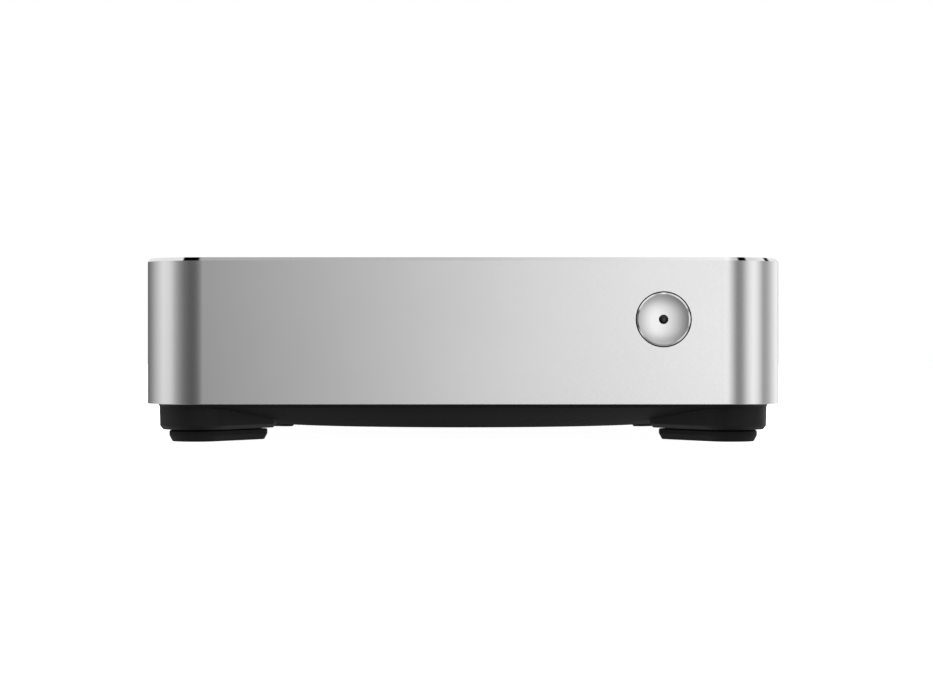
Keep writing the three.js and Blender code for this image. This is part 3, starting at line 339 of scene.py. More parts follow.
# A straight-sided outline with round corners; a slot's corner is half its width.
def roundedOutline(low, high, corner, arcSteps=6):
    middles = [(high[0] - corner, high[1] - corner), (low[0] + corner, high[1] - corner),
               (low[0] + corner, low[1] + corner), (high[0] - corner, low[1] + corner)]
    points = []
    for quarter, (x, y) in enumerate(middles):
        for step in range(arcSteps + 1):
            angle = math.pi / 2 * (quarter + step / arcSteps)
            points.append((x + corner * math.cos(angle), y + corner * math.sin(angle)))
    return points


# An outline whose corners curve as a superellipse does, so straight sides run into them without a break.
def squircleOutline(halfX, halfY, corner, power=2.2, arcSteps=24, sideSteps=1):
    arcs = []
    for quarter in range(4):
        sideX = 1 if quarter in (0, 3) else -1
        sideY = 1 if quarter < 2 else -1
        arc = []
        for step in range(arcSteps + 1):
            angle = math.pi / 2 * (step / arcSteps if quarter % 2 == 0 else 1 - step / arcSteps)
            x = corner * math.cos(angle) ** (2 / power)
            y = corner * math.sin(angle) ** (2 / power)
            arc.append((sideX * (halfX - corner + x), sideY * (halfY - corner + y)))
        arcs.append(arc)
    outline = []
    for quarter, arc in enumerate(arcs):
        start, end = arc[-1], arcs[(quarter + 1) % 4][0]
        outline += arc
        for k in range(1, sideSteps):
            outline.append(tuple(a + (b - a) * k / sideSteps for a, b in zip(start, end)))
    return outline


# A smooth line through points, with even weight on near and far ones.
def smoothPath(points, stepsBetween):
    points = [Vector(point) for point in points]
    ends = [2 * points[0] - points[1]] + points + [2 * points[-1] - points[-2]]
    path = []
    for a, b, c, d in zip(ends, ends[1:], ends[2:], ends[3:]):
        before, between, after = ((q - p).length ** 0.5 for p, q in ((a, b), (b, c), (c, d)))
        leave = between * ((b - a) / before - (c - a) / (before + between) + (c - b) / between)
        arrive = between * ((c - b) / between - (d - b) / (between + after) + (d - c) / after)
        for step in range(stepsBetween):
            t = step / stepsBetween
            path.append((2 * t ** 3 - 3 * t ** 2 + 1) * b + (t ** 3 - 2 * t ** 2 + t) * leave
                        + (3 * t ** 2 - 2 * t ** 3) * c + (t ** 3 - t ** 2) * arrive)
    return path + [points[-1]]


# A section of (across, up) pairs swept along a path; sizes scales it at each point.
def sweep(path, section, top=up, sizes=None, build=None, skin=0):
    rings = []
    for k, point in enumerate(path):
        along = (path[min(k + 1, len(path) - 1)] - path[max(k - 1, 0)]).normalized()
        side = along.cross(top).normalized()
        top = side.cross(along)
        scale = sizes[k] if sizes else (1, 1)
        rings.append([point + side * across * scale[0] + top * rise * scale[1] for across, rise in section])
    return loft(rings, build=build, skin=skin)


# Turns a mesh made round Z so that its Z points in a direction, and moves its origin to a point.
def aim(build, direction, point=(0, 0, 0)):
    build.transform(Matrix.Translation(point) @ direction.to_track_quat("Z", "Y").to_matrix().to_4x4())
    return build


def objectFrom(name, build, *materials):
    bmesh.ops.recalc_face_normals(build, faces=build.faces)
    mesh = bpy.data.meshes.new(name)
    build.to_mesh(mesh)
    build.free()
    mesh.transform(Matrix.Scale(mm, 4))
    piece = bpy.data.objects.new(name, mesh)
    scene.collection.objects.link(piece)
    for material in materials:
        mesh.materials.append(finish[material])
    return piece


# Joins meshes to a piece or cuts them out of it.
def combine(piece, operation, *builds):
    for build in builds:
        tool = objectFrom("tool", build)
        modifier = piece.modifiers.new("combine", "BOOLEAN")
        modifier.operation = operation
        modifier.solver = "MANIFOLD"
        modifier.object = tool
        ready = piece.evaluated_get(bpy.context.evaluated_depsgraph_get())
        mesh = bpy.data.meshes.new_from_object(ready)
        piece.modifiers.clear()
        piece.data = mesh
        bpy.data.objects.remove(tool)


def cut(piece, *builds):
    combine(piece, "DIFFERENCE", *builds)


def join(piece, *builds):
    combine(piece, "UNION", *builds)


# Smooths what is round and keeps what is sharp, or rounds sharp edges by a bevel in millimetres.
def soften(piece, bevel=0.0, angle=32, segments=2):
    for polygon in piece.data.polygons:
        polygon.use_smooth = True
    if bevel:
        modifier = piece.modifiers.new("edges", "BEVEL")
        modifier.width = bevel * mm
        modifier.segments = segments
        modifier.limit_method = "ANGLE"
        modifier.angle_limit = math.radians(angle)
    else:
        piece.data.set_sharp_from_angle(angle=math.radians(angle))
    weighted = piece.modifiers.new("normals", "WEIGHTED_NORMAL")
    weighted.keep_sharp = True
    weighted.weight = 90
    return piece


# Hides the CAD nodes that a piece stands for and makes it move with a body. The finish that slot names is not
# used.
def assemble(piece, slot, *nodes, body="chassis"):
    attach(piece, body)
    if nodes:
        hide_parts(*nodes)
    return piece


finish = {
    "aluminium": anodisedAluminium(), "cutAluminium": diamondCutAluminium(),
    "turnedAluminium": turnedAluminium(), "abs": mouldedAbs(), "rubber": mouldedRubber(),
    "acrylic": smokedAcrylic(), "nylon": glassFilledNylon(),
    "paleNylon": glassFilledNylon("paleNylon", ("#B9B6AC", "#C4C1B8")), "tin": tinPlatedSteel(),
    "gold": goldPlate(), "copper": milledCopper(), "drawnCopper": milledCopper("drawnCopper", (1, 1, 1)),
    "fins": stampedAluminium(), "casting": castAluminium(), "sheet": zincPlatedSteel(),
    "spring": springSteel(), "screws": blackZincSteel(), "board": solderMask(), "epoxy": mouldedEpoxy(),
    "ferrite": sinteredFerrite(), "can": drawnCan(), "pvc": extrudedPvc(),
    "redPvc": extrudedPvc("redPvc", ("#7E1B18", "#8E2320")),
    "greyPvc": extrudedPvc("greyPvc", ("#6C6E70", "#78797B")), "nickel": nickelPlate(),
    "paper": coatedPaper(), "film": polyimideFilm(), "clearEpoxy": castClearEpoxy(),
}
print("materials made")

studio = {
    "cameraDistance": 720, "cameraHeight": 27.37, "lens": 94.3, "shift": 0.00364, "floorSize": 8000,
    "peak": 1.5,
    # Direction round the object in degrees, 0 towards the camera, and how bright the studio is there.
    "round": [(-180, 0.12), (-150, 0.18), (-128, 0.38), (-105, 0.75), (-84, 1.10), (-64, 0.98), (-50, 0.50),
              (-36, 0.22), (-22, 0.11), (-11, 0.15), (-6, 0.43), (-3, 0.69), (0, 0.97), (6, 1.44), (10, 1.50),
              (16, 0.90), (25, 0.26), (34, 0.37), (46, 1.05), (58, 1.42), (70, 1.14), (86, 0.44), (102, 0.61),
              (120, 1.02), (142, 1.28), (170, 0.55), (180, 0.30)],
    # Lean from straight up in degrees, positive to the right, and the brightness of the ceiling there.
    "overhead": [(-90, 0.7), (-44, 0.95), (-18, 0.95), (-8, 0.46), (-3, 0.55), (0, 0.64), (4, 0.95), (8, 1.2),
                 (12, 0.8), (15.5, 0.65), (24, 0.8), (38, 1.0), (90, 0.7)],
    "seams": [(-20, -8), (16.3, 22.3), (39, 42.6)],  # dark gaps between the ceiling's lights
    # The walls are bright in a band round the horizon: where it ends, as upward slopes, and what is left.
    "fadeUp": (0.10, 0.25), "fadeDown": (-0.04, -0.22), "spread": 0.3,
    # The floor as gloss sees it in front, in the object's shadow behind and at the sides, and then as it
    # lights matt surfaces.
    "floorFront": 0.32, "floorShade": 0.05, "floorSides": 0.75, "floorLight": 0.10,
    # Where each region of the world begins and where it is full, along one axis of a direction.
    "steep": (0.5, 0.58), "notInFront": (-0.25, -0.1), "ceilingEdge": (0.29, 0.37), "aside": (0.25, 0.45),
    "steepDip": (-0.3, -0.6), "slightDip": (-0.16, -0.32), "shaded": (-0.1, 0.4),
    "riseInFront": 0.1, "riseBehind": 0.2,  # how much lower the ceiling's edge is towards the front and rear
}


def brightnessAlong(tree, angle, stops, reach, peak=1.0):
    share = addNode(tree, "MapRange", {"Value": angle, "From Min": -math.radians(reach),
                                       "From Max": math.radians(reach)}).outputs["Result"]
    levels = [((degrees + reach) / (2 * reach), [level / peak] * 3 + [1]) for degrees, level in stops]
    return addNode(tree, "ValToRGB", {"Fac": share}, levels).outputs["Color"]


def buildStudio():
    world = bpy.data.worlds.new("studio")
    scene.world = world
    world.use_nodes = True
    tree = world.node_tree
    tree.nodes.clear()
    x, y, z = addNode(tree, "SeparateXYZ", {"Vector": addNode(tree, "TexCoord").outputs["Generated"]}).outputs
    toFront = addNode(tree, "Math", {0: y, 1: -1.0}, operation="MULTIPLY").outputs[0]
    around = addNode(tree, "Math", {0: x, 1: toFront}, operation="ARCTAN2").outputs[0]
    lean = addNode(tree, "Math", {0: x, 1: z}, operation="ARCTAN2").outputs[0]
    walls = brightnessAlong(tree, around, studio["round"], 180, studio["peak"])
    smooth = brightnessAlong(tree, lean, studio["overhead"], 90, studio["peak"])
    edges = [(-90, 1)] + [stop for start, end in studio["seams"]
                          for stop in ((start - 0.5, 1), (start, 0), (end, 0), (end + 0.5, 1))] + [(90, 1)]
    seams = brightnessAlong(tree, lean, edges, 90)
    across = addNode(tree, "Math", {0: x}, operation="ABSOLUTE").outputs[0]
    inFront = addNode(tree, "Math", {0: toFront, 1: studio["riseInFront"], 2: z}, operation="MULTIPLY_ADD")
    behind = addNode(tree, "Math", {0: y, 1: studio["riseBehind"], 2: z}, operation="MULTIPLY_ADD")
    rise = addNode(tree, "Math", {0: inFront.outputs[0], 1: behind.outputs[0]},
                   operation="MAXIMUM").outputs[0]
    masks = {}
    for region, along in (("steep", z), ("notInFront", y), ("ceilingEdge", rise), ("aside", across),
                          ("steepDip", z), ("slightDip", z), ("shaded", y)):
        begin, full = studio[region]
        masks[region] = addNode(tree, "MapRange", {"Value": along, "From Min": begin,
                                                   "From Max": full}).outputs[0]
    above, dip = (addNode(tree, "Math", {0: masks[first], 1: masks[second]}, operation="MULTIPLY").outputs[0]
                  for first, second in (("steep", "notInFront"), ("slightDip", "aside")))
    downwards = addNode(tree, "Math", {0: masks["steepDip"], 1: dip}, operation="MAXIMUM").outputs[0]
    dark = addNode(tree, "Mix", {0: above, 6: (1, 1, 1, 1), 7: seams}, data_type="RGBA").outputs[2]
    ceiling = addNode(tree, "VectorMath", {0: smooth, 1: dark}, operation="MULTIPLY").outputs[0]
    fades = [addNode(tree, "MapRange", {"Value": z, "From Min": start, "From Max": end, "To Min": 1.0,
                                        "To Max": studio["spread"]},
                     interpolation_type="SMOOTHSTEP").outputs[0]
             for start, end in (studio["fadeUp"], studio["fadeDown"])]
    spread = addNode(tree, "Math", {0: fades[0], 1: fades[1]}, operation="MULTIPLY").outputs[0]
    band = addNode(tree, "VectorMath", {0: walls, "Scale": spread}, operation="SCALE").outputs[0]
    path = addNode(tree, "LightPath").outputs
    tones = ("floorFront", "floorShade", "floorSides", "floorLight")
    nearby, shade, sides, matt = [[studio[key] / studio["peak"]] * 3 + [1] for key in tones]
    floorTone = nearby
    for mask, tone in ((masks["shaded"], shade), (masks["aside"], sides), (path["Is Diffuse Ray"], matt)):
        floorTone = addNode(tree, "Mix", {0: mask, 6: floorTone, 7: tone}, data_type="RGBA").outputs[2]
    upper = addNode(tree, "Mix", {0: masks["ceilingEdge"], 6: band, 7: ceiling}, data_type="RGBA").outputs[2]
    whole = addNode(tree, "Mix", {0: downwards, 6: upper, 7: floorTone}, data_type="RGBA").outputs[2]
    lit = addNode(tree, "Background", {"Color": whole, "Strength": studio["peak"]}).outputs[0]
    seen = addNode(tree, "Background", {"Color": (1, 1, 1, 1), "Strength": 1.0}).outputs[0]
    mixed = addNode(tree, "MixShader", {0: path["Is Camera Ray"], 1: lit, 2: seen}).outputs[0]
    addNode(tree, "OutputWorld", {"Surface": mixed})


# A lit acrylic table: it glows a little itself, so shadows on it stay pale.
def buildFloor():
    half = studio["floorSize"] / 2
    build = bmesh.new()
    build.faces.new([build.verts.new((x * half, y * half, 0))
                     for x, y in ((-1, -1), (1, -1), (1, 1), (-1, 1))])
    material, tree, shader, spot = newMaterial("litTable", Roughness=0.8, Specular_IOR_Level=0.1,
                                               Emission_Color=(1, 1, 1, 1), Emission_Strength=0.97)
    tone = addNode(tree, "TexNoise", {"Vector": spot, "Scale": 3.0}).outputs["Fac"]
    pale = addNode(tree, "ValToRGB", {"Fac": tone}, [(0.3, linear("#F2F2F2")), (0.7, linear("#F5F5F5"))])
    tree.links.new(pale.outputs["Color"], shader.inputs["Base Color"])
    finish["litTable"] = material
    floor = objectFrom("floor", build, "litTable")
    floor.visible_glossy = False
    floor.visible_diffuse = False


def addSoftbox(name, location, size, watts):
    light = bpy.data.lights.new(name, "AREA")
    light.size = size
    light.energy = watts
    lamp = bpy.data.objects.new(name, light)
    scene.collection.objects.link(lamp)
    lamp.location = location
    lamp.visible_glossy = False
    lamp.visible_camera = False


shellLow, shellHigh = nodeBox("shell")[:2]
buildStudio()
buildFloor()
addSoftbox("ceilingLight", (0, 0, 1.6), 2.2, 24)
camera = bpy.data.objects.new("camera", bpy.data.cameras.new("camera"))
scene.collection.objects.link(camera)
camera.data.lens = studio["lens"]
camera.data.shift_x = studio["shift"]
camera.data.clip_start = 0.05
camera.location = Vector((0, shellLow.y - studio["cameraDistance"], studio["cameraHeight"])) * mm
camera.rotation_euler = (math.pi / 2, 0, 0)
scene.camera = camera
scene.view_settings.view_transform = "Standard"
print("studio built")

shell = {
    "corner": 18.2, "wall": 2.5, "lip": 1.3, "chamfer": 1.0, "ledgeRise": 3.0, "edge": 0.12, "notchHalf": 76,
    "notchTop": 40.3, "buttonHole": 8.25, "holeRound": 0.05,
}


def buildShell():
    half, top, bottom = shellHigh.x, shellHigh.z, shellLow.z
    edge, chamfer, wall, lip = (shell[key] for key in ("edge", "chamfer", "wall", "lip"))
    ledge, roof = bottom + shell["ledgeRise"], top - wall

    def ring(inset, z):
        return lift(squircleOutline(half - inset, half - inset, shell["corner"] - inset), z)

    build = loft([ring(chamfer, top), ring(0, top - chamfer), ring(0, bottom + edge), ring(edge, bottom),
                  ring(lip - edge, bottom), ring(lip, bottom + edge), ring(lip, ledge), ring(wall, ledge),
                  ring(wall, roof - 1.2), ring(wall + 0.4, roof - 0.35), ring(wall + 1.2, roof)])
    piece = objectFrom("cover", build, "aluminium", "cutAluminium")
    notch = block((-shell["notchHalf"], half - 3 * wall, bottom - 1),
                  (shell["notchHalf"], half + 1, shell["notchTop"]))
    centre = nodeBox("power_button")[2]
    hole, rounding = shell["buttonHole"], shell["holeRound"]
    mouth = [(hole + rounding + 0.5, -0.5)]
    for step in range(5):
        angle = math.pi / 2 * step / 4
        mouth.append((hole + rounding * (1 - math.sin(angle)), rounding * (1 - math.cos(angle))))
    drill = aim(turned(mouth + [(hole, wall + 1)], 96), rear, (centre.x, shellLow.y, centre.z))
    cut(piece, notch, drill)
    for polygon in piece.data.polygons:
        height = polygon.center.z / mm
        if top - chamfer < height < top - 0.1 and 0.5 < polygon.normal.z < 0.9:
            polygon.material_index = 1
    return assemble(soften(piece), "anodised_aluminium", "shell", body="shell")


buildShell()
print("shell built")

base = {
    "rimInset": 1.6, "rimWall": 1.6, "corner": 18.2, "bowlInset": 3.8, "flare": 1.0, "bellyRadius": 65.3,
    "bellyFloor": 3.0, "grilleSeat": 49.3, "grilleDepth": 1.7, "grilleHole": 45, "legWide": 11.0,
    "legTip": 6.3, "legLength": 23.5, "legChamfer": 1.1, "legWall": 2.2, "draft": 0.16, "postWidth": 7,
    "postDepth": 6, "boss": 3.5, "pilot": 1.3, "sillHalf": 75.4,
}
pad = {"wide": 8.1, "tip": 3.4, "chamferWidth": 0.9, "chamferHeight": 1.8, "edge": 0.25, "plug": 3.2}
trayLow, trayHigh = nodeBox("base_tray")[:2]
boardScrews = [f"board_screw_{k}" for k in range(1, 5)]
padLow, padHigh = nodeBox("foot_pad_front_left")[:2]
footCentre = Vector((padLow.x + pad["wide"], padLow.y + pad["wide"]))


def teardropOutline(wide, tip, wideSteps=40, tipSteps=20):
    inwards = math.pi / 4
    spread = math.acos((base["legWide"] - base["legTip"]) / base["legLength"])
    tipCentre = footCentre + base["legLength"] * Vector((math.cos(inwards), math.sin(inwards)))
    points = []
    for centre, radius, start, end, steps in ((footCentre, wide, spread, 2 * math.pi - spread, wideSteps),
                                              (tipCentre, tip, -spread, spread, tipSteps)):
        for k in range(steps + 1):
            angle = inwards + start + (end - start) * k / steps
            points.append((centre.x + radius * math.cos(angle), centre.y + radius * math.sin(angle)))
    return points


def atCorner(build, corner):
    sides = [(1, 1), (-1, 1), (-1, -1), (1, -1)][corner]
    build.transform(Matrix.Diagonal((sides[0], sides[1], 1, 1)))
    return build


def legBuild():
    wide, tip, bottom, top, flare = base["legWide"], base["legTip"], trayLow.z, shellLow.z, base["flare"]
    draft, chamfer = base["draft"], base["legChamfer"]
    rows = [(-chamfer, bottom), (-draft - 0.06, bottom + chamfer - 0.04), (-draft, bottom + chamfer + 0.12)]
    for k in range(9):
        angle = math.pi / 2 * k / 8
        rows.append((flare * (1 - math.cos(angle)), top - flare + flare * math.sin(angle)))
    return loft([lift(teardropOutline(wide + offset, tip + offset), z) for offset, z in rows])


def bowlHeight(x, y):
    half = shellHigh.x - base["bowlInset"]
    distance = math.hypot(x, y)
    reach = max(abs(x), abs(y)) / half
    share = max(0, (distance - base["bellyRadius"]) / (distance / reach - base["bellyRadius"]))
    return trayLow.z + share * (shellLow.z - base["flare"] - trayLow.z)


def rod(radius, low, high, centre, steps=32):
    return turned([(radius, low), (radius, high)], steps, centre=centre)


def buildTray():
    half, bottom, top = shellHigh.x, trayLow.z, shellLow.z
    rimTop = top + 2.7
    flare, inset, rim, wall = (base[key] for key in ("flare", "bowlInset", "rimInset", "rimWall"))

    def outline(offset):
        return squircleOutline(half - offset, half - offset, base["corner"] - offset, arcSteps=16,
                               sideSteps=20)

    def under(radius, z):
        return [Vector((x, y, 0)).normalized() * radius + Vector((0, 0, z)) for x, y in outline(inset)]

    rings = [under(base["bellyRadius"], bottom), lift(outline(inset), top - flare)]
    for k in range(1, 7):
        angle = math.pi / 2 * k / 6
        rings.append(lift(outline(inset - flare * (1 - math.cos(angle))),
                          top - flare + flare * math.sin(angle)))
    for offset, z in ((rim, top), (rim, rimTop - 0.3), (rim + 0.3, rimTop), (rim + wall - 0.3, rimTop),
                      (rim + wall, rimTop - 0.3), (rim + wall, rimTop - 1.2), (inset + 1.2, rimTop - 1.6)):
        rings.append(lift(outline(offset), z))
    rings.append(under(base["bellyRadius"] - 3, bottom + base["bellyFloor"]))
    piece = objectFrom("baseTray", loft(rings), "abs")
    join(piece, *[atCorner(legBuild(), corner) for corner in range(4)])
    panelLow, panelHigh = nodeBox("rear_panel")[:2]
    postRear = panelLow.y - 0.3
    sill = block((-base["sillHalf"], half - rim - wall, top), (base["sillHalf"], panelHigh.y, rimTop))
    panelScrews = [nodeBox(name)[2] for name in ("panel_screw_left", "panel_screw_right")]
    reach = base["postWidth"] / 2
    posts = [block((s.x - reach, postRear - base["postDepth"], bowlHeight(s.x, 80) + 1),
                   (s.x + reach, postRear, trayHigh.z)) for s in panelScrews]
    join(piece, sill, *posts)
    bossTop = nodeBox("mainboard")[0].z - 0.3
    spots = [nodeBox(name)[2] for name in ("bracket_screw", *boardScrews)]
    join(piece, *[rod(base["boss"], bowlHeight(s.x, s.y) + 1.4, bossTop, (s.x, s.y)) for s in spots])
    cuts = [rod(base["pilot"], bossTop - 2.4, bossTop + 1, (s.x, s.y), 20) for s in spots]
    for corner in range(4):
        inside = teardropOutline(base["legWide"] - base["legWall"], base["legTip"] - base["legWall"])
        cuts.append(atCorner(plate(inside, bottom + 2.8, top + 1), corner))
        cuts.append(atCorner(rod(pad["plug"] + 0.3, bottom - 1, bottom + 1.8, footCentre), corner))
    for s in panelScrews:
        cuts.append(aim(rod(base["pilot"], -5, 1, (0, 0), 20), rear, (s.x, postRear, s.z)))
    cuts.append(rod(base["grilleSeat"], bottom - 1, bottom + base["grilleDepth"], (0, 0), 96))
    cuts.append(rod(base["grilleHole"], bottom, bottom + base["bellyFloor"] + 1, (0, 0), 96))
    cut(piece, *cuts)
    assemble(soften(piece, angle=28), "black_plastic", "base_tray")


def buildPads():
    width, rise, edge = pad["chamferWidth"], pad["chamferHeight"], pad["edge"]
    top = trayLow.z - 0.3
    rows = [(-width - edge, 0), (-width, edge * 0.6), (-0.05, rise - 0.1), (0, rise + 0.1), (0, top - edge),
            (-edge, top)]
    for corner, name in enumerate(["front_left", "front_right", "rear_right", "rear_left"]):
        build = loft([lift(teardropOutline(pad["wide"] + o, pad["tip"] + o), z) for o, z in rows])
        piece = objectFrom("footPad_" + name, atCorner(build, corner), "rubber")
        join(piece, atCorner(rod(pad["plug"], top - 0.5, padHigh.z, footCentre), corner))
        assemble(soften(piece, angle=25), "rubber", "foot_pad_" + name)


grille = {"slot": 3.0, "pitch": 6.5, "border": 6.0, "chamfer": 0.3}


def buildGrille():
    low, high = nodeBox("intake_grille")[:2]
    radius, chamfer = high.x, grille["chamfer"]
    disc = turned([(radius - chamfer, low.z), (radius, low.z + chamfer), (radius, high.z)], 128)
    piece = objectFrom("intakeGrille", disc, "abs")
    reach, half = radius - grille["border"], grille["slot"] / 2
    rows = int(reach / grille["pitch"])
    for row in range(-rows, rows + 1):
        y = row * grille["pitch"]
        end = math.sqrt(reach ** 2 - y ** 2)
        for start, stop in ([(-end, end)] if row == 0 else [(-end, -2 * half), (2 * half, end)]):
            slot = roundedOutline((start, y - half), (stop, y + half), half - 0.01)
            cut(piece, plate(slot, low.z - 1, high.z + 1))
    assemble(soften(piece, 0.15), "black_plastic", "intake_grille")


buildTray()
buildPads()
buildGrille()
print("base built")

button = {"radius": 7.95, "rim": 0.5, "rimDrop": 0.165, "dish": 0.42, "dishPower": 2.3, "bore": 1.4,
          "flangeWidth": 1.4, "flangeFront": 2.8, "flangeBack": 3.8, "stem": 3.6, "springRadius": 5.775,
          "springWire": 0.25, "springTurns": 2.5, "springKeep": 0.7}
buttonLow, buttonHigh, buttonMiddle = nodeBox("power_button")
buttonFace = Vector((buttonMiddle.x, buttonLow.y, buttonMiddle.z))


def buildButton():
    radius, rim, depth, bore = (button[key] for key in ("radius", "rim", "dish", "bore"))
    dishRadius = radius - rim
    profile = []
    for k in range(19):
        r = bore + (dishRadius - bore) * k / 18
        profile.append((r, depth * (1 - (r / dishRadius) ** button["dishPower"])))
    back = buttonHigh.y - buttonLow.y
    profile += [(radius - 0.03, button["rimDrop"]), (radius, button["rimDrop"] + 0.05), (radius, depth),
                (radius, button["flangeFront"]), (radius + button["flangeWidth"], button["flangeFront"]),
                (radius + button["flangeWidth"], button["flangeBack"]),
                (button["stem"], button["flangeBack"]), (button["stem"], back), (bore, back)]
    build = turned(profile, 128, closed=True)
    for face in build.faces:
        middle = face.calc_center_median()
        if middle.z > depth + 0.1:
            face.material_index = 2  # painted shade: side wall, flange and stem in black nylon so the gap round the cap reads dark
        elif math.hypot(middle.x, middle.y) > dishRadius:
            face.material_index = 1
    piece = objectFrom("buttonCap", aim(build, rear, buttonFace), "turnedAluminium", "cutAluminium",
                       "nylon")
    assemble(soften(piece, angle=14), "anodised_aluminium", "power_button", body="button")
    low, high, middle = nodeBox("light_pipe")
    lens = [(0.3, -0.02), (0.9, 0.02), (1.25, 0.12), (1.3, 0.3), (1.3, high.y - low.y)]
    build = aim(turned(lens, 48), rear, (middle.x, low.y, middle.z))
    assemble(soften(objectFrom("statusLens", build, "acrylic")), "smoked_lens", "light_pipe", body="button")


# The guide that the cap slides in is screwed behind the front wall, with four ribs round it.
def buildGuide():
    low, high, middle = nodeBox("button_guide")
    outer, length = (high.x - low.x) / 2, high.y - low.y
    inner, throat, floor = outer - 2.3, button["stem"] + 0.5, length - 1.2
    profile = [(inner, 0), (outer - 0.3, 0), (outer, 0.3), (outer, 1.2), (outer - 0.6, 1.5),
               (outer - 0.6, length - 0.4), (outer - 1.0, length), (throat + 0.2, length),
               (throat, length - 0.2), (throat, floor), (inner, floor)]
    piece = objectFrom("buttonGuide", aim(turned(profile, 96, closed=True), rear,
                                          (middle.x, low.y, middle.z)), "nylon")
    for k in range(4):
        rib = block((outer - 0.9, -0.6, 1.3), (outer, 0.6, length - 0.5))
        rib.transform(Matrix.Rotation(math.pi / 4 + math.pi / 2 * k, 4, "Z"))
        join(piece, aim(rib, rear, (middle.x, low.y, middle.z)))
    assemble(soften(piece), "black_plastic", "button_guide", body="shell")


def buildSpring():
    low, high = nodeBox("button_spring")[:2]
    wire, steps = button["springWire"], 160
    path = []
    for k in range(steps + 1):
        share = k / steps
        angle = share * button["springTurns"] * 2 * math.pi
        height = low.y + wire + (high.y - low.y - 2 * wire) * share
        path.append(Vector((buttonMiddle.x + button["springRadius"] * math.cos(angle), height,
                            buttonMiddle.z + button["springRadius"] * math.sin(angle))))
    piece = objectFrom("returnSpring", sweep(path, circle(wire, 12), top=rear), "spring")
    assemble(soften(piece, angle=60), "spring_steel", "button_spring", body="shell")
    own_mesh(piece)


buildButton()
buildGuide()
buildSpring()
print("button built")

screw = {"head": 2.4, "headHeight": 1.4, "shank": 1.0, "thread": 0.16, "pitch": 0.45, "recess": 0.75,
         "arm": 1.25, "armWidth": 0.5}


# A pan-head screw with a cross recess, its head's top at a point and its head towards a direction.
def buildScrew(node, direction):
    low, high, middle = nodeBox(node)
    size = high - low
    length = abs(size.dot(direction)) - screw["headHeight"]
    radius, height, pitch = screw["head"], screw["headHeight"], screw["pitch"]
    profile = [(screw["shank"] - 0.35, -length)]
    for k in range(int((length - 0.5) / pitch)):
        z = -length + 0.25 + k * pitch
        profile += [(screw["shank"] - screw["thread"], z), (screw["shank"], z + pitch / 2)]
    profile += [(screw["shank"] - screw["thread"], -0.3), (screw["shank"], -0.05), (radius - 0.15, 0),
                (radius, 0.12), (radius, 0.55), (radius - 0.12, 0.85), (radius - 0.5, 1.15),
                (radius - 1.2, 1.34), (0.5, height)]
    piece = objectFrom(node.title().replace("_", ""), turned(profile, 32), "screws")
    top, arm, width = height + 0.2, screw["arm"], screw["armWidth"] / 2
    for long, wide in ((arm, width), (width, arm)):
        floor = [(x * long * 0.6, y * wide * 0.6) for x, y in ((-1, -1), (1, -1), (1, 1), (-1, 1))]
        mouth = [(x * long, y * wide) for x, y in ((-1, -1), (1, -1), (1, 1), (-1, 1))]
        cut(piece, loft([lift(floor, height - screw["recess"]), lift(mouth, top)]))
    seatPoint = middle + direction * (abs(size.dot(direction)) / 2 - height)
    place = Matrix.Translation(seatPoint * mm) @ direction.to_track_quat("Z", "Y").to_matrix().to_4x4()
    piece.data.transform(place)
    assemble(soften(piece), "black_screw_steel", node)


for direction, nodes in ((up, (*boardScrews, "bracket_screw", "cooler_screw_1", "cooler_screw_2")),
                         (rear, ("panel_screw_left", "panel_screw_right")),
                         (left, ("drive_screw_1", "drive_screw_2"))):
    for node in nodes:
        buildScrew(node, direction)
print("screws built")

panel = {"gap": 0.3, "ventPitch": 2.2, "vents": 16, "ventHalf": 0.65, "ventLow": 18.5, "ventHigh": 35,
         "screwHole": 1.3, "screwSeat": 2.7, "seatDepth": 1.0, "lockLow": (51.5, 31), "lockHigh": (58.5, 34)}
connectors = ["dc_jack", "video_port", "network_port", "data_ports_right", "data_ports_left", "audio_jacks"]


# An outline drawn in X and Z, raised along Y.
def plateAlongY(outline, start, end, build=None, skin=0):
    rings = [[Vector((x, y, z)) for x, z in outline] for y in (start, end)]
    return loft(rings, build=build, skin=skin)


def buildPanel():
    low, high = nodeBox("rear_panel")[:2]
    piece = objectFrom("rearPanel", block(low, high), "abs")
    for node in connectors:
        portLow, portHigh = nodeBox(node)[:2]
        gap = panel["gap"]
        cut(piece, block((portLow.x - gap, low.y - 1, low.z - 1),
                         (portHigh.x + gap, high.y + 1, portHigh.z + gap)))
    fins = nodeBox("fin_stack")[0]
    for k in range(panel["vents"]):
        x = fins.x + (k + 0.5) * panel["ventPitch"]
        slot = roundedOutline((x - panel["ventHalf"], panel["ventLow"]),
                              (x + panel["ventHalf"], panel["ventHigh"]), panel["ventHalf"] - 0.01)
        cut(piece, plateAlongY(slot, low.y - 1, high.y + 1))
    for node in ("panel_screw_left", "panel_screw_right"):
        centre = nodeBox(node)[2]
        hole, seat = (turned([(panel[key], 0), (panel[key], 5)], 40) for key in ("screwHole", "screwSeat"))
        cut(piece, aim(hole, rear, (centre.x, low.y - 1, centre.z)),
            aim(seat, rear, (centre.x, high.y - panel["seatDepth"], centre.z)))
    lock = roundedOutline(panel["lockLow"], panel["lockHigh"], 1.2)
    cut(piece, plateAlongY(lock, low.y - 1, high.y + 1))
    assemble(soften(piece, 0.15), "black_plastic", "rear_panel")


port = {"wall": 0.35, "edge": 0.12, "contact": 0.35}


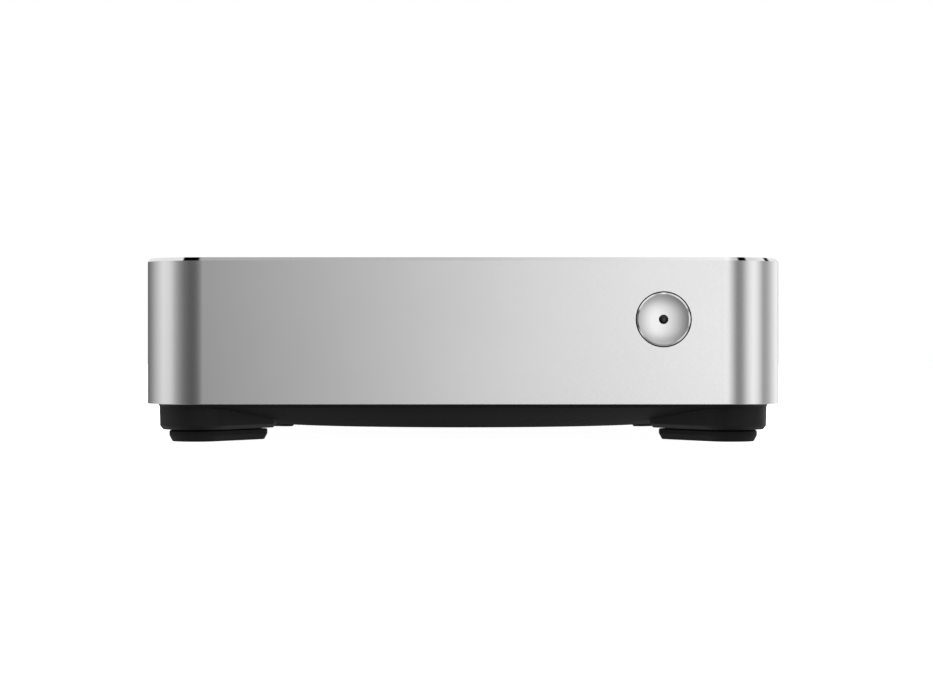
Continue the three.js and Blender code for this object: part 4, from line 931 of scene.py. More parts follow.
def buildDcInlet():
    low, high, middle = nodeBox("dc_jack")
    piece = objectFrom("dcInlet", block(low, high), "nylon")
    socket = [(2.9, -10), (2.9, -0.7), (3.1, -0.5), (3.1, -0.3), (3.5, 0), (3.9, 0.4)]
    cut(piece, aim(turned(socket, 48), rear, (middle.x, high.y, middle.z)))
    assemble(soften(piece, port["edge"]), "black_plastic", "dc_jack")
    pin = [(1.0, -10.5), (1.0, -1.3), (0.85, -0.9), (0.4, -0.6)]
    piece = objectFrom("dcPin", aim(turned(pin, 32), rear, (middle.x, high.y, middle.z)), "nickel")
    assemble(soften(piece), "nickel_plate")
    sleeve = [(2.88, -9.8), (2.88, -1.2), (2.6, -1.0), (2.6, -9.8)]
    piece = objectFrom("dcSleeve", aim(turned(sleeve, 48, closed=True), rear, (middle.x, high.y, middle.z)),
                       "tin")
    assemble(soften(piece), "plated_shell")


# The tongue and its gold contacts inside a socket, with the contacts on its upper or lower side.
def buildTongue(name, low, high, count, under=True):
    build = block(low, high)
    pitch = (high[0] - low[0]) / (count + 0.5)
    z = low[2] if under else high[2]
    for k in range(count):
        x = low[0] + (k + 0.75) * pitch
        wide = pitch * port["contact"]
        block((x - wide, low[1] + 0.5, z - 0.08), (x + wide, high[1] - 0.5, z + 0.08), build, 1)
    piece = objectFrom(name, build, "nylon", "gold")
    assemble(soften(piece), "black_plastic")


def buildVideoPort():
    low, high = nodeBox("video_port")[:2]

    def outline(inset):
        start, end, bottom, top = low.x + inset, high.x - inset, low.z + inset, high.z - inset
        return [(start + 1.7, bottom), (end - 1.7, bottom), (end - 0.2, bottom + 1.7), (end, bottom + 2.3),
                (end, top - 0.5), (end - 0.5, top), (start + 0.5, top), (start, top - 0.5),
                (start, bottom + 2.3), (start + 0.2, bottom + 1.7)]

    piece = objectFrom("videoPort", plateAlongY(outline(0), low.y, high.y), "tin")
    cut(piece, plateAlongY(outline(port["wall"]), high.y - 9, high.y + 1))
    assemble(soften(piece, port["edge"]), "plated_shell", "video_port")
    buildTongue("videoTongue", (low.x + 2.2, high.y - 9, low.z + 2.7),
                (high.x - 2.2, high.y - 0.9, low.z + 3.7), 10)
    back = block((low.x + 0.5, high.y - 9.2, low.z + 2.0), (high.x - 0.5, high.y - 8.6, high.z - 0.5))
    assemble(soften(objectFrom("videoInsert", back, "nylon"), 0.1), "black_plastic")


def buildNetworkPort():
    low, high, middle = nodeBox("network_port")
    piece = objectFrom("networkPort", block(low, high), "tin")
    half, floor, roof, depth = 6.9, low.z + 1.2, high.z - 0.6, high.y - 13.5
    cut(piece, block((middle.x - half, depth, floor), (middle.x + half, high.y + 1, roof)))
    assemble(soften(piece, port["edge"]), "plated_shell", "network_port")
    insert = objectFrom("networkInsert", block((middle.x - half + 0.05, depth + 0.3, floor + 0.05),
                                               (middle.x + half - 0.05, high.y - 0.35, roof - 0.05)), "nylon")
    mouth = block((middle.x - 5.9, depth + 2, low.z + 2.4), (middle.x + 5.9, high.y + 1, low.z + 9.2))
    tab = block((middle.x - 3.2, depth + 2, low.z + 9), (middle.x + 3.2, high.y + 1, low.z + 11.4))
    cut(insert, mouth, tab)
    assemble(soften(insert, 0.15), "black_plastic")
    build = bmesh.new()
    for k in range(8):
        x = middle.x + (k - 3.5) * 1.02
        path = [Vector((x, high.y - 2.2, low.z + 2.7)), Vector((x, high.y - 2.8, low.z + 2.9)),
                Vector((x, high.y - 9, low.z + 5.4)), Vector((x, high.y - 11, low.z + 5.9))]
        sweep(path, circle(0.22, 8), build=build)
    assemble(soften(objectFrom("networkContacts", build, "gold")), "plated_shell")
    build = bmesh.new()
    for side in (-1, 1):
        x = middle.x + side * 5
        block((x - 1.4, high.y - 2, low.z + 10), (x + 1.4, high.y - 0.25, low.z + 11.6), build)
    assemble(soften(objectFrom("networkLights", build, "clearEpoxy"), 0.2), "smoked_lens")


# Two sockets over each other in one folded shell, with spring fingers pressed out of its sides.
def buildDataPorts(node, name):
    low, high = nodeBox(node)[:2]
    piece = objectFrom(name, block(low, high), "tin")
    opening = 5.2
    gap = (high.z - low.z - 2 * opening) / 3
    fingers = bmesh.new()
    for row in range(2):
        floor = low.z + gap + row * (opening + gap)
        cut(piece, block((low.x + 0.5, high.y - 11, floor), (high.x - 0.5, high.y + 1, floor + opening)))
        for side, edge in ((-1, low.x), (1, high.x)):
            path = [Vector((edge - side * 0.5, high.y - 6.5, floor + 2.6)),
                    Vector((edge - side * 0.7, high.y - 5, floor + 2.6)),
                    Vector((edge - side * 1.0, high.y - 3, floor + 2.6)),
                    Vector((edge - side * 0.6, high.y - 1.6, floor + 2.6))]
            sweep(path, [(-0.09, -0.7), (0.09, -0.7), (0.09, 0.7), (-0.09, 0.7)], build=fingers)
        tongueLow = (low.x + 1.4, high.y - 11, floor + 2.9)
        buildTongue(f"{name}Tongue{row + 1}", tongueLow, (high.x - 1.4, high.y - 0.9, floor + 4.7), 4)
    assemble(soften(piece, port["edge"]), "plated_shell", node)
    assemble(soften(objectFrom(name + "Fingers", fingers, "tin")), "plated_shell")


def buildAudioJacks():
    low, high, middle = nodeBox("audio_jacks")
    piece = objectFrom("audioJacks", block(low, high), "nylon")
    rings = bmesh.new()
    for share in (0.27, 0.73):
        z = low.z + (high.z - low.z) * share
        cut(piece, aim(rod(2.6, -9, 1, (0, 0), 40), rear, (middle.x, high.y, z)))
        ring = [(2.58, -0.8), (2.58, -0.15), (2.45, -0.03), (1.95, -0.03), (1.85, -0.12), (1.85, -8),
                (2.3, -8), (2.3, -0.8)]
        part = aim(turned(ring, 40, closed=True), rear, (middle.x, high.y, z))
        mesh = bpy.data.meshes.new("ring")
        part.to_mesh(mesh)
        part.free()
        rings.from_mesh(mesh)
        bpy.data.meshes.remove(mesh)
    assemble(soften(piece, port["edge"]), "black_plastic", "audio_jacks")
    assemble(soften(objectFrom("audioRings", rings, "gold")), "plated_shell")


buildPanel()
buildDcInlet()
buildVideoPort()
buildNetworkPort()
buildDataPorts("data_ports_right", "dataPortsRight")
buildDataPorts("data_ports_left", "dataPortsLeft")
buildAudioJacks()
print("rear panel built")

switch = {"plungerWall": 1.0, "lip": 0.35}


def buildSwitch():
    low, high, middle = nodeBox("switch_plunger")
    outer, length, lip = (high.x - low.x) / 2, high.y - low.y, switch["lip"]
    inner = outer - switch["plungerWall"]
    profile = [(inner + 0.1, 0), (outer - lip, 0), (outer - 0.1, 0.15), (outer, lip), (outer, length),
               (inner, length), (inner, 0.1)]
    build = aim(turned(profile, 48, closed=True), rear, (middle.x, low.y, middle.z))
    assemble(soften(objectFrom("switchPlunger", build, "paleNylon")), "black_plastic", "switch_plunger",
             body="plunger")
    low, high, middle = nodeBox("switch_body")
    piece = objectFrom("switchBody", block(low, high), "nylon")
    cut(piece, aim(rod(outer + 0.3, -1, high.y - low.y - 0.6, (0, 0), 48), rear, (middle.x, low.y, middle.z)))
    assemble(soften(piece, 0.25), "black_plastic", "switch_body")
    low, high, middle = nodeBox("status_led")
    radius, length = (high.x - low.x) / 2, high.y - low.y
    dome = [(0.2, 0), (radius * 0.6, 0.18), (radius * 0.9, 0.6), (radius, 1.2), (radius, length)]
    build = aim(turned(dome, 40), rear, (middle.x, low.y, middle.z))
    assemble(soften(objectFrom("statusDiode", build, "clearEpoxy")), "smoked_lens", "status_led")


def buildSwitchBoard():
    low, high, middle = nodeBox("switch_board")
    outline = roundedOutline((low.x, low.z), (high.x, high.z), 1.5)
    piece = objectFrom("switchBoard", plateAlongY(outline, low.y, high.y), "board")
    assemble(soften(piece, 0.08), "circuit_board", "switch_board")
    build = bmesh.new()
    for x, z in ((-6, 7), (-3.5, 7.6), (5, 6.5), (6, -3), (-6.2, -6), (-6.2, -8)):
        point = Vector((middle.x + x, low.y, middle.z + z))
        block(point - Vector((0.8, 0.6, 0.4)), point + Vector((0.8, 0, 0.4)), build)
        for side in (-1, 1):
            block(point + Vector((side * 0.8 - 0.2, -0.63, -0.43)),
                  point + Vector((side * 0.8 + 0.2, 0, 0.43)), build, 1)
    assemble(soften(objectFrom("switchBoardParts", build, "epoxy", "tin"), 0.05), "circuit_board")


# The bracket is an upright with two gussets running down to its screwed foot.
def buildBracket():
    low, high = nodeBox("switch_bracket")[:2]
    thick = 1.5
    piece = objectFrom("switchBracket", block(low, (high.x, low.y + thick, high.z)), "nylon")
    foot = block((low.x, low.y + 0.1, low.z), (high.x, high.y, low.z + thick))
    join(piece, foot)
    for x in (low.x, high.x - 1.2):
        gusset = loft([[Vector((x + t, low.y + 0.5, low.z + 1)), Vector((x + t, high.y - 0.8, low.z + 1)),
                        Vector((x + t, low.y + 0.5, low.z + 16))] for t in (0, 1.2)])
        join(piece, gusset)
    centre = nodeBox("bracket_screw")[2]
    cut(piece, rod(1.3, low.z - 1, low.z + 4, (centre.x, centre.y)))
    assemble(soften(piece, 0.25), "black_plastic", "switch_bracket")


buildSwitch()
buildSwitchBoard()
buildBracket()
print("switch built")

board = {"bottom": 13.2, "thick": 1.6, "rear": 84, "tongueHalf": 66, "corner": 2.5, "screwHole": 1.3,
         "airHole": 18.5, "smallParts": 260}
boardTop = board["bottom"] + board["thick"]


def buildBoard():
    low, high = nodeBox("mainboard")[:2]
    corner = board["corner"]
    outline = roundedOutline((low.x, low.y), (high.x, board["rear"]), corner)
    piece = objectFrom("mainboard.body", plate(outline, low.z, boardTop), "board")
    tongue = roundedOutline((-board["tongueHalf"], board["rear"] - 6), (board["tongueHalf"], high.y), corner)
    join(piece, plate(tongue, low.z, boardTop))
    fan = nodeBox("fan_impeller")[2]
    cut(piece, rod(board["airHole"], low.z - 1, boardTop + 1, (fan.x, fan.y), 96))
    rings = bmesh.new()
    for node in boardScrews:
        spot = nodeBox(node)[2]
        cut(piece, rod(board["screwHole"], low.z - 1, boardTop + 1, (spot.x, spot.y)))
        ring = [(board["screwHole"], boardTop), (3.2, boardTop), (3.2, boardTop + 0.05),
                (board["screwHole"], boardTop + 0.05)]
        turned(ring, 40, True, (spot.x, spot.y), rings)
    assemble(soften(piece, 0.1), "circuit_board", "mainboard")
    assemble(soften(objectFrom("screwPads", rings, "tin")), "circuit_board")


# A chip with a row of bent legs on two or four of its sides.
def buildChip(name, x, y, width, depth, height, sides=4, pitch=0.9):
    z = boardTop + 0.15
    build = block((x - width / 2 + 0.8, y - depth / 2 + 0.8, z),
                  (x + width / 2 - 0.8, y + depth / 2 - 0.8, boardTop + height))
    for side in range(sides):
        angle = math.pi * (side if sides == 2 else side / 2)
        turn = Matrix.Translation((x, y, boardTop)) @ Matrix.Rotation(angle, 4, "Z")
        across, reach = (width, depth) if (side % 2 == 0 or sides == 2) else (depth, width)
        count = int((across - 2.4) / pitch)
        for k in range(count + 1):
            offset = (k - count / 2) * pitch
            path = [turn @ Vector((offset, reach / 2 - 0.9, height / 2)),
                    turn @ Vector((offset, reach / 2 - 0.5, height / 2)),
                    turn @ Vector((offset, reach / 2 - 0.35, 0.1)), turn @ Vector((offset, reach / 2, 0.08))]
            strip = pitch * 0.22
            sweep(path, [(-strip, -0.07), (strip, -0.07), (strip, 0.07), (-strip, 0.07)], build=build, skin=1)
    assemble(soften(objectFrom(name, build, "epoxy", "tin")), "circuit_board")


def buildCoil(name, x, y, size, height):
    half = size / 2
    build = block((x - half, y - half, boardTop + 0.3), (x + half, y + half, boardTop + height))
    for side in (-1, 1):
        block((x + side * (half - 1) - 1.1, y - half * 0.6, boardTop),
              (x + side * (half - 1) + 1.1, y + half * 0.6, boardTop + 1.2), build, 1)
    piece = objectFrom(name, build, "ferrite", "tin")
    cut(piece, turned([(1.4, boardTop + height - 0.25), (1.4, boardTop + height + 1)], 32, centre=(x, y)))
    assemble(soften(piece, 0.35), "circuit_board")


def buildCapacitor(name, x, y):
    foot = [(-3.2, -3.2), (2.2, -3.2), (3.2, -2.2), (3.2, 2.2), (2.2, 3.2), (-3.2, 3.2)]
    build = plate([(x + a, y + b) for a, b in foot], boardTop, boardTop + 0.9, skin=1)
    can = [(2.8, 0.85), (2.85, 1.2), (2.62, 1.5), (2.85, 1.8), (2.85, 5.6), (2.6, 5.95), (2.3, 5.9),
           (2.2, 5.75), (0.2, 5.75)]
    turned([(radius, boardTop + height) for radius, height in can], 40, centre=(x, y), build=build)
    assemble(soften(objectFrom(name, build, "can", "nylon")), "circuit_board")


def buildHeader(name, x, y, width, depth, height, pins):
    piece = objectFrom(name, block((x - width / 2, y - depth / 2, boardTop),
                                   (x + width / 2, y + depth / 2, boardTop + height)),
                       "paleNylon", "tin")
    cut(piece, block((x - width / 2 + 0.6, y - depth / 2 + 0.6, boardTop + 0.8),
                     (x + width / 2 - 0.6, y + depth / 2 - 0.6, boardTop + height + 1)))
    assemble(soften(piece, 0.12), "circuit_board")
    build = bmesh.new()
    along = Vector((1, 0, 0)) if width > depth else Vector((0, 1, 0))
    reach = max(width, depth) - 2.4
    for k in range(pins):
        point = Vector((x, y, boardTop + 0.7)) + along * reach * (k / (pins - 1) - 0.5)
        block(point - Vector((0.25, 0.25, 0)), point + Vector((0.25, 0.25, height - 1.1)), build)
    assemble(soften(objectFrom(name + "Pins", build, "gold"), 0.08), "circuit_board")


# Resistors and capacitors the size of sand, scattered in short rows where nothing else stands.
def buildSmallParts():
    margin, screwRoom, pitch, reach = 1.5, 5, 1.4, 79
    boxes = [nodeBox(node)[:2] for node in ("memory_socket", "memory_module", "cold_plate",
                                            "coin_cell_holder", *connectors)]
    taken = [(low.x - margin, low.y - margin, high.x + margin, high.y + margin) for low, high in boxes]
    for x, y, width, depth in soldered:
        halfX, halfY = width / 2 + margin, depth / 2 + margin
        taken.append((x - halfX, y - halfY, x + halfX, y + halfY))
    for node in ("bracket_screw", *boardScrews):
        spot = nodeBox(node)[2]
        taken.append((spot.x - screwRoom, spot.y - screwRoom, spot.x + screwRoom, spot.y + screwRoom))
    fan = nodeBox("fan_impeller")[2]
    chance = random.Random(7)
    bodies = bmesh.new()
    placed = 0
    while placed < board["smallParts"]:
        x, y = chance.uniform(-80, 80), chance.uniform(-69, 80)
        lying = chance.random() < 0.5
        for k in range(chance.randint(1, 5)):
            px, py = (x, y + k * pitch) if lying else (x + k * pitch, y)
            blocked = any(a < px < c and b < py < d for a, b, c, d in taken)
            beyond = max(abs(px), abs(py + 5)) > reach
            bracketLeg = any(abs(abs(px + 49) - 33) < 5 and abs(py - leg) < 8 for leg in (-64, -9))
            if blocked or beyond or bracketLeg or math.hypot(px - fan.x, py - fan.y) < board["airHole"] + 2:
                continue
            half = Vector((0.8, 0.4, 0)) if lying else Vector((0.4, 0.8, 0))
            point, rise = Vector((px, py, boardTop)), Vector((0, 0, chance.choice((0.4, 0.55, 0.8))))
            block(point - half * 0.6, point + half * 0.6 + rise, bodies, 2 if rise.z > 0.5 else 0)
            for side in (-1, 1):
                end = point + half * side * 0.8
                block(end - half * 0.2, end + half * 0.2 + rise * 1.04, bodies, 1)
            placed += 1
    assemble(soften(objectFrom("smallParts", bodies, "epoxy", "tin", "ferrite")), "circuit_board")


chips = [(46, 32, 14, 14, 1.2), (18, 40, 10, 10, 1.2), (-4, -30, 12, 12, 1.2), (0, 56, 9, 9, 1.1),
         (28, 62, 8, 8, 1.3)]
sideChips = [(50, -15, 6, 8, 2.5), (-4, -52, 7, 9, 1.5)]
coils = [(62, 4, 10, 4), (62, -10, 10, 4)]
cans = [(76, 12), (76, 4.6), (76, -2.8), (52, 62), (60, 62)]
headers = [(-8, 0, 7, 18, 4.2, 6), (-12, 38, 5, 7, 3.2, 4), (70, -66, 9, 4, 2.2, 4)]
soldered = [chip[:4] for chip in chips + sideChips] + [(x, y, size, size) for x, y, size, height in coils]
soldered += [(x, y, 7, 7) for x, y in cans] + [header[:4] for header in headers] + [(66, 24, 22, 6)]

buildBoard()
for k, sizes in enumerate(chips):
    buildChip(f"chip{k + 1}", *sizes)
for k, sizes in enumerate(sideChips):
    buildChip(f"smallChip{k + 1}", *sizes, sides=2)
for k, sizes in enumerate(coils):
    buildCoil(f"coil{k + 1}", *sizes)
for k, spot in enumerate(cans):
    buildCapacitor(f"capacitor{k + 1}", *spot)
for name, sizes in zip(("driveHeader", "fanHeader", "switchHeader"), headers):
    buildHeader(name, *sizes)
buildSmallParts()
print("mainboard built")

cooler = {"plateHalf": 20, "armThick": 1.2, "pipe": (8, 3), "finPitch": 2.2, "fins": 17, "finThick": 0.4,
          "finBase": 1.2, "housingWall": 1.8, "housingFloor": 1.2, "scroll": 3, "hub": 9, "blades": 22,
          "bladeThick": 0.6, "shaft": 1.0}


def buildProcessor():
    low, high = nodeBox("processor")[:2]
    build = plate(roundedOutline(low, high, 0.6), low.z, low.z + 0.8, skin=1)
    plate(roundedOutline(low + Vector((2.5, 2.5, 0)), high - Vector((2.5, 2.5, 0)), 1), low.z + 0.7, high.z,
          build)
    assemble(soften(objectFrom("processorChip", build, "nickel", "board"), 0.12), "chip_package", "processor")


def buildColdPlate():
    low, high, middle = nodeBox("cold_plate")
    half = cooler["plateHalf"]
    core = block((middle.x - half, middle.y - half, low.z), (middle.x + half, middle.y + half, high.z))
    piece = objectFrom("coldPlate", core, "copper")
    for side, node in ((1, "cooler_screw_1"), (-1, "cooler_screw_2")):
        spot = nodeBox(node)[2]
        corner = (middle.x + side * (half - 3), middle.y + side * (half - 4))
        arm = roundedOutline((min(corner[0], spot.x - side * 4, spot.x + side * 3),
                              min(corner[1], spot.y - side * 4, spot.y + side * 4)),
                             (max(corner[0], spot.x - side * 4, spot.x + side * 3),
                              max(corner[1], spot.y - side * 4, spot.y + side * 4)), 2.4)
        join(piece, plate(arm, low.z, low.z + cooler["armThick"]))
        cut(piece, rod(1.3, low.z - 1, high.z + 1, (spot.x, spot.y)))
    assemble(soften(piece, 0.3), "copper", "cold_plate")


# The flattened pipe runs from the cold plate to the fins, and is pinched shut at both ends.
def buildHeatPipe():
    middle = nodeBox("heat_pipe")[2]
    chip, fins = nodeBox("processor")[2], nodeBox("fin_stack")
    width, height = cooler["pipe"]
    y, x = fins[0].y + width / 2 + 1, fins[2].x
    path = smoothPath([(chip.x, chip.y - 16, middle.z), (chip.x, chip.y + 14, middle.z),
                       (chip.x - 3, y - 26, middle.z), (chip.x - 18, y - 7, middle.z),
                       (x + 34, y - 0.5, middle.z), (x + 20, y, middle.z), (x - 17, y, middle.z)], 10)
    sizes = [(min(1, 0.25 + 0.75 * min(k, len(path) - 1 - k) / 3),
              min(1, 0.3 + 0.7 * min(k, len(path) - 1 - k) / 3))
             for k in range(len(path))]
    section = roundedOutline((-width / 2, -height / 2), (width / 2, height / 2), height / 2 - 0.01)
    assemble(soften(objectFrom("heatPipe", sweep(path, section, sizes=sizes), "drawnCopper")), "copper",
             "heat_pipe")


# Each fin is folded over at its top until it meets the next one.
def buildFins():
    low, high = nodeBox("fin_stack")[:2]
    thick, pitch = cooler["finThick"], cooler["finPitch"]
    build = block(low, (high.x, high.y, low.z + cooler["finBase"]))
    for k in range(cooler["fins"]):
        x = low.x + k * pitch
        block((x, low.y, low.z + 1), (x + thick, high.y, high.z), build)
        if k < cooler["fins"] - 1:
            block((x, low.y + 0.05, high.z - thick), (x + pitch - 0.1, high.y - 0.05, high.z - 0.01), build)
    assemble(soften(objectFrom("finStack", build, "fins"), 0.06), "bare_aluminium", "fin_stack")


def housingOutline(half, back, steps=32):
    turns = [math.pi * (1 + k / steps) for k in range(steps + 1)]
    bend = [(half * math.cos(a), half * math.sin(a)) for a in turns]
    return [(half, back), (-half, back)] + bend


def buildHousing():
    low, high, middle = nodeBox("blower_housing")
    half, wall, floor = (high.x - low.x) / 2, cooler["housingWall"], cooler["housingFloor"]
    height = high.z - low.z
    piece = objectFrom("blowerHousing", plate(housingOutline(half, half), 0, height), "nylon")
    inlet = half - cooler["scroll"] - wall - 8
    cut(piece, plate(housingOutline(half - wall, half + 1), floor, height + 1),
        rod(inlet, -1, floor + 1, (0, 0), 64))
    for k in range(3):
        spoke = block((-inlet - 1, -1.5, 0), (inlet + 1, 1.5, floor - 0.01))
        spoke.transform(Matrix.Rotation(math.pi / 3 * k, 4, "Z"))
        join(piece, spoke)
    join(piece, rod(cooler["hub"], 0, floor, (0, 0), 48))
    cut(piece, rod(cooler["shaft"] + 0.5, -1, floor + 1, (0, 0)))
    piece.data.transform(Matrix.Translation(Vector((middle.x, middle.y, low.z)) * mm))
    assemble(soften(piece, 0.3), "black_plastic", "blower_housing")


# A pressed steel lid whose inlet edge is turned down, held by rivets.
def buildBlowerCover():
    low, high, middle = nodeBox("blower_cover")
    half = (high.x - low.x) / 2
    thick, hole = high.z - low.z, half - cooler["scroll"] - cooler["housingWall"] - 6
    piece = objectFrom("blowerCover", plate(housingOutline(half, half), 0, thick), "sheet")
    cut(piece, turned([(hole, -1), (hole, thick * 0.4), (hole + 0.5, thick + 0.02),
                       (hole + 0.5, thick + 1)], 96))
    for x, y in ((half - 3.5, half - 3.5), (-half + 3.5, half - 3.5), (half * 0.62, -half * 0.62),
                 (-half * 0.62, -half * 0.62)):
        join(piece, turned([(1.6, thick - 0.1), (1.6, thick + 0.15), (1.2, thick + 0.4),
                            (0.3, thick + 0.5)], 32, centre=(x, y)))
    piece.data.transform(Matrix.Translation(Vector((middle.x, middle.y, low.z)) * mm))
    assemble(soften(piece, 0.1), "sheet_steel", "blower_cover")


def buildImpeller():
    low, high, middle = nodeBox("fan_impeller")
    height, radius, hub = high.z - low.z, nodeBox("blower_housing")[1].x - middle.x - 4.8, cooler["hub"]
    cup = [(0.2, height), (hub - 1.5, height), (hub - 0.6, height - 0.15), (hub - 0.1, height - 0.6),
           (hub, height - 1.2), (hub, 0), (hub - 1.4, 0), (hub - 1.6, 0.2), (hub - 1.6, height - 1.4),
           (2.4, height - 1.4), (2.4, height - 2.8), (1.1, height - 2.8), (1.1, height - 1.4),
           (0.2, height - 1.4)]
    build = turned(cup, 64, closed=True)
    turned([(hub - 0.1, height / 2), (radius - 1, height / 2), (radius - 1, height / 2 + 0.8),
            (hub - 0.1, height / 2 + 0.8)], 96,
           True, build=build)
    half = cooler["bladeThick"] / 2
    for blade in range(cooler["blades"]):
        turn = Matrix.Rotation(2 * math.pi * blade / cooler["blades"], 4, "Z")
        line = []
        for k in range(9):
            share = k / 8
            reach, swing = hub + 3 + (radius - 0.3 - hub - 3) * share, 0.42 * share ** 1.4
            line.append(Vector((reach * math.cos(swing), -reach * math.sin(swing), 0)))
        sides = []
        for k, point in enumerate(line):
            along = (line[min(k + 1, 8)] - line[max(k - 1, 0)]).normalized()
            sides.append(Vector((-along.y, along.x, 0)) * half * (1 - 0.35 * k / 8))
        outline = [p + s for p, s in zip(line, sides)] + [p - s for p, s in reversed(list(zip(line, sides)))]
        rings = [[turn @ (point + up * z) for point in outline]
                 for z in (0.1, 0.3, height - 0.6, height - 0.4)]
        loft(rings, build=build)
    turned([(hub - 2.2, height - 0.02), (hub - 2.2, height + 0.05), (0.3, height + 0.05)], 64, build=build,
           skin=1)
    build.transform(Matrix.Translation((middle.x, middle.y, low.z)))
    assemble(soften(objectFrom("fanImpeller", build, "nylon", "paper")), "black_plastic", "fan_impeller",
             body="rotor")
    low, high, middle = nodeBox("fan_shaft")
    r, length = cooler["shaft"], high.z - low.z
    profile = [(r - 0.3, 0), (r, 0.3), (r, 0.7), (r - 0.12, 0.75), (r - 0.12, 1.0), (r, 1.05),
               (r, length - 0.25), (r - 0.25, length)]
    build = turned([(radius, low.z + z) for radius, z in profile], 40, centre=(middle.x, middle.y))
    assemble(soften(objectFrom("fanShaft", build, "spring")), "spring_steel", "fan_shaft", body="rotor")


# The stator: a bearing tube with wound poles round it.
def buildMotor():
    low, high, middle = nodeBox("fan_motor")
    outer, inner, height = (high.x - low.x) / 2, cooler["shaft"] + 0.5, high.z - low.z
    tube = [(inner, 0), (outer, 0), (outer, 0.6), (inner + 1.2, 0.7), (inner + 1.2, height), (inner, height)]
    build = turned(tube, 48, closed=True)
    for k in range(6):
        turn = Matrix.Rotation(math.pi / 3 * k, 4, "Z")
        start = len(build.verts)
        block((inner + 1.1, -1.1, 1.0), (outer - 0.9, 1.1, height - 0.6), build, 1)
        block((outer - 1.0, -2.4, 0.8), (outer - 0.1, 2.4, height - 0.4), build, 2)
        build.verts.ensure_lookup_table()
        for vert in build.verts[start:]:
            vert.co = turn @ vert.co
    build.transform(Matrix.Translation((middle.x, middle.y, low.z)))
    assemble(soften(objectFrom("fanMotor", build, "nylon", "drawnCopper", "ferrite"), 0.12), "chip_package",
             "fan_motor")


buildProcessor()
buildColdPlate()
buildHeatPipe()
buildFins()
buildHousing()
buildBlowerCover()
buildImpeller()
buildMotor()
print("cooler built")

memory = {"halfWidth": 33.8, "thick": 1.0, "lift": 3.4, "arm": 5.0, "contacts": 52, "fingerLength": 2.6,
          "latchThick": 0.6}


def buildSocket():
    low, high, middle = nodeBox("memory_socket")
    back = high.y
    piece = objectFrom("memorySocket", block((low.x, back - 7, low.z), (high.x, back, high.z)), "nylon")
    for x in (low.x, high.x - memory["arm"]):
        join(piece, block((x, low.y, low.z), (x + memory["arm"], back - 5, low.z + 2.7)))
    slotZ, half, reach = low.z + memory["lift"], memory["halfWidth"] + 0.3, memory["thick"] + 0.3
    cut(piece, block((middle.x - half, back - 8, slotZ - 0.3),
                     (middle.x + half, back - 2.7, slotZ + reach)))
    for k in range(6):
        x = middle.x + (k - 2.5) * 11
        cut(piece, block((x - 3.5, back - 2, high.z - 0.5), (x + 3.5, back - 0.7, high.z + 1)))
    assemble(soften(piece, 0.2), "black_plastic", "memory_socket")
    build = bmesh.new()
    pitch = 2 * (memory["halfWidth"] - 2) / memory["contacts"]
    for k in range(memory["contacts"] + 1):
        x = middle.x - memory["halfWidth"] + 2 + k * pitch
        block((x - 0.2, back - 0.1, low.z + 0.1), (x + 0.2, back + 0.9, low.z + 0.3), build)
        block((x - 0.2, back - 0.1, low.z + 0.1), (x + 0.2, back + 0.12, low.z + 2.2), build)
    assemble(soften(objectFrom("socketLegs", build, "tin")), "plated_shell")


def buildModule():
    low, high, middle = nodeBox("memory_module")
    top, key = low.z + memory["thick"], middle.x - 7.2
    piece = objectFrom("memoryModule", plate(roundedOutline(low, high, 0.5), low.z, top), "board")
    cut(piece, plate(roundedOutline((key - 0.8, high.y - 2.5), (key + 0.8, high.y + 2), 0.7), low.z - 1,
                     top + 1))
    for x in (low.x, high.x):
        cut(piece, rod(1.4, low.z - 1, top + 1, (x, high.y - 20), 40))
    assemble(soften(piece, 0.06), "circuit_board", "memory_module")
    build = bmesh.new()
    for k in (-2, -1, 1, 2):
        x, y = middle.x + k * 13, low.y + 13
        block((x - 5, y - 6, top + 0.15), (x + 5, y + 6, high.z), build)
        turned([(0.5, high.z - 0.05), (0.45, high.z + 0.01)], 20, centre=(x - 4, y - 5), build=build, skin=1)
    assemble(soften(objectFrom("memoryChips", build, "epoxy", "ferrite"), 0.12), "circuit_board")
    build = bmesh.new()
    for k in range(66):
        x = low.x + 1.6 + k * 0.985
        if abs(x - key) > 1.3:
            block((x - 0.3, high.y - memory["fingerLength"], top - 0.01),
                  (x + 0.3, high.y - 0.3, top + 0.04), build)
    assemble(soften(objectFrom("moduleFingers", build, "gold")), "circuit_board")
    build = bmesh.new()
    for k in range(20):
        x = low.x + 3 + k * 3.2
        block((x - 0.25, high.y - 5.6, top), (x + 0.25, high.y - 4.6, top + 0.35), build)
        for side in (-1, 1):
            y = high.y - 5.1 + side * 0.42
            block((x - 0.27, y - 0.12, top), (x + 0.27, y + 0.12, top + 0.37), build, 1)
    assemble(soften(objectFrom("moduleParts", build, "epoxy", "tin")), "circuit_board")


# A leaf of spring steel with a hook over the module's edge and a window cut through it.
def buildLatch(node, body, side):
    low, high = nodeBox(node)[:2]
    leafX = low.x if side < 0 else high.x - memory["latchThick"]
    build = block((leafX, low.y, low.z), (leafX + memory["latchThick"], high.y, high.z))
    piece = objectFrom("memoryLatch" + body.split("_")[0].title(), build, "spring")
    join(piece, block((low.x, low.y, high.z - 0.9), (high.x, low.y + 4, high.z - 0.3)))
    window = (low.y + 7, high.y - 4)
    cut(piece, block((low.x - 1, window[0], low.z + 0.8), (high.x + 1, window[1], high.z - 0.8)))
    assemble(soften(piece, 0.1), "spring_steel", node, body=body)


buildSocket()
buildModule()
buildLatch("memory_latch_left", "left_latch", -1)
buildLatch("memory_latch_right", "right_latch", 1)
print("memory built")

drive = {"sheet": 1.2, "strip": 9, "toe": 7, "seat": 0.3, "hole": 1.3, "label": (46, 52)}


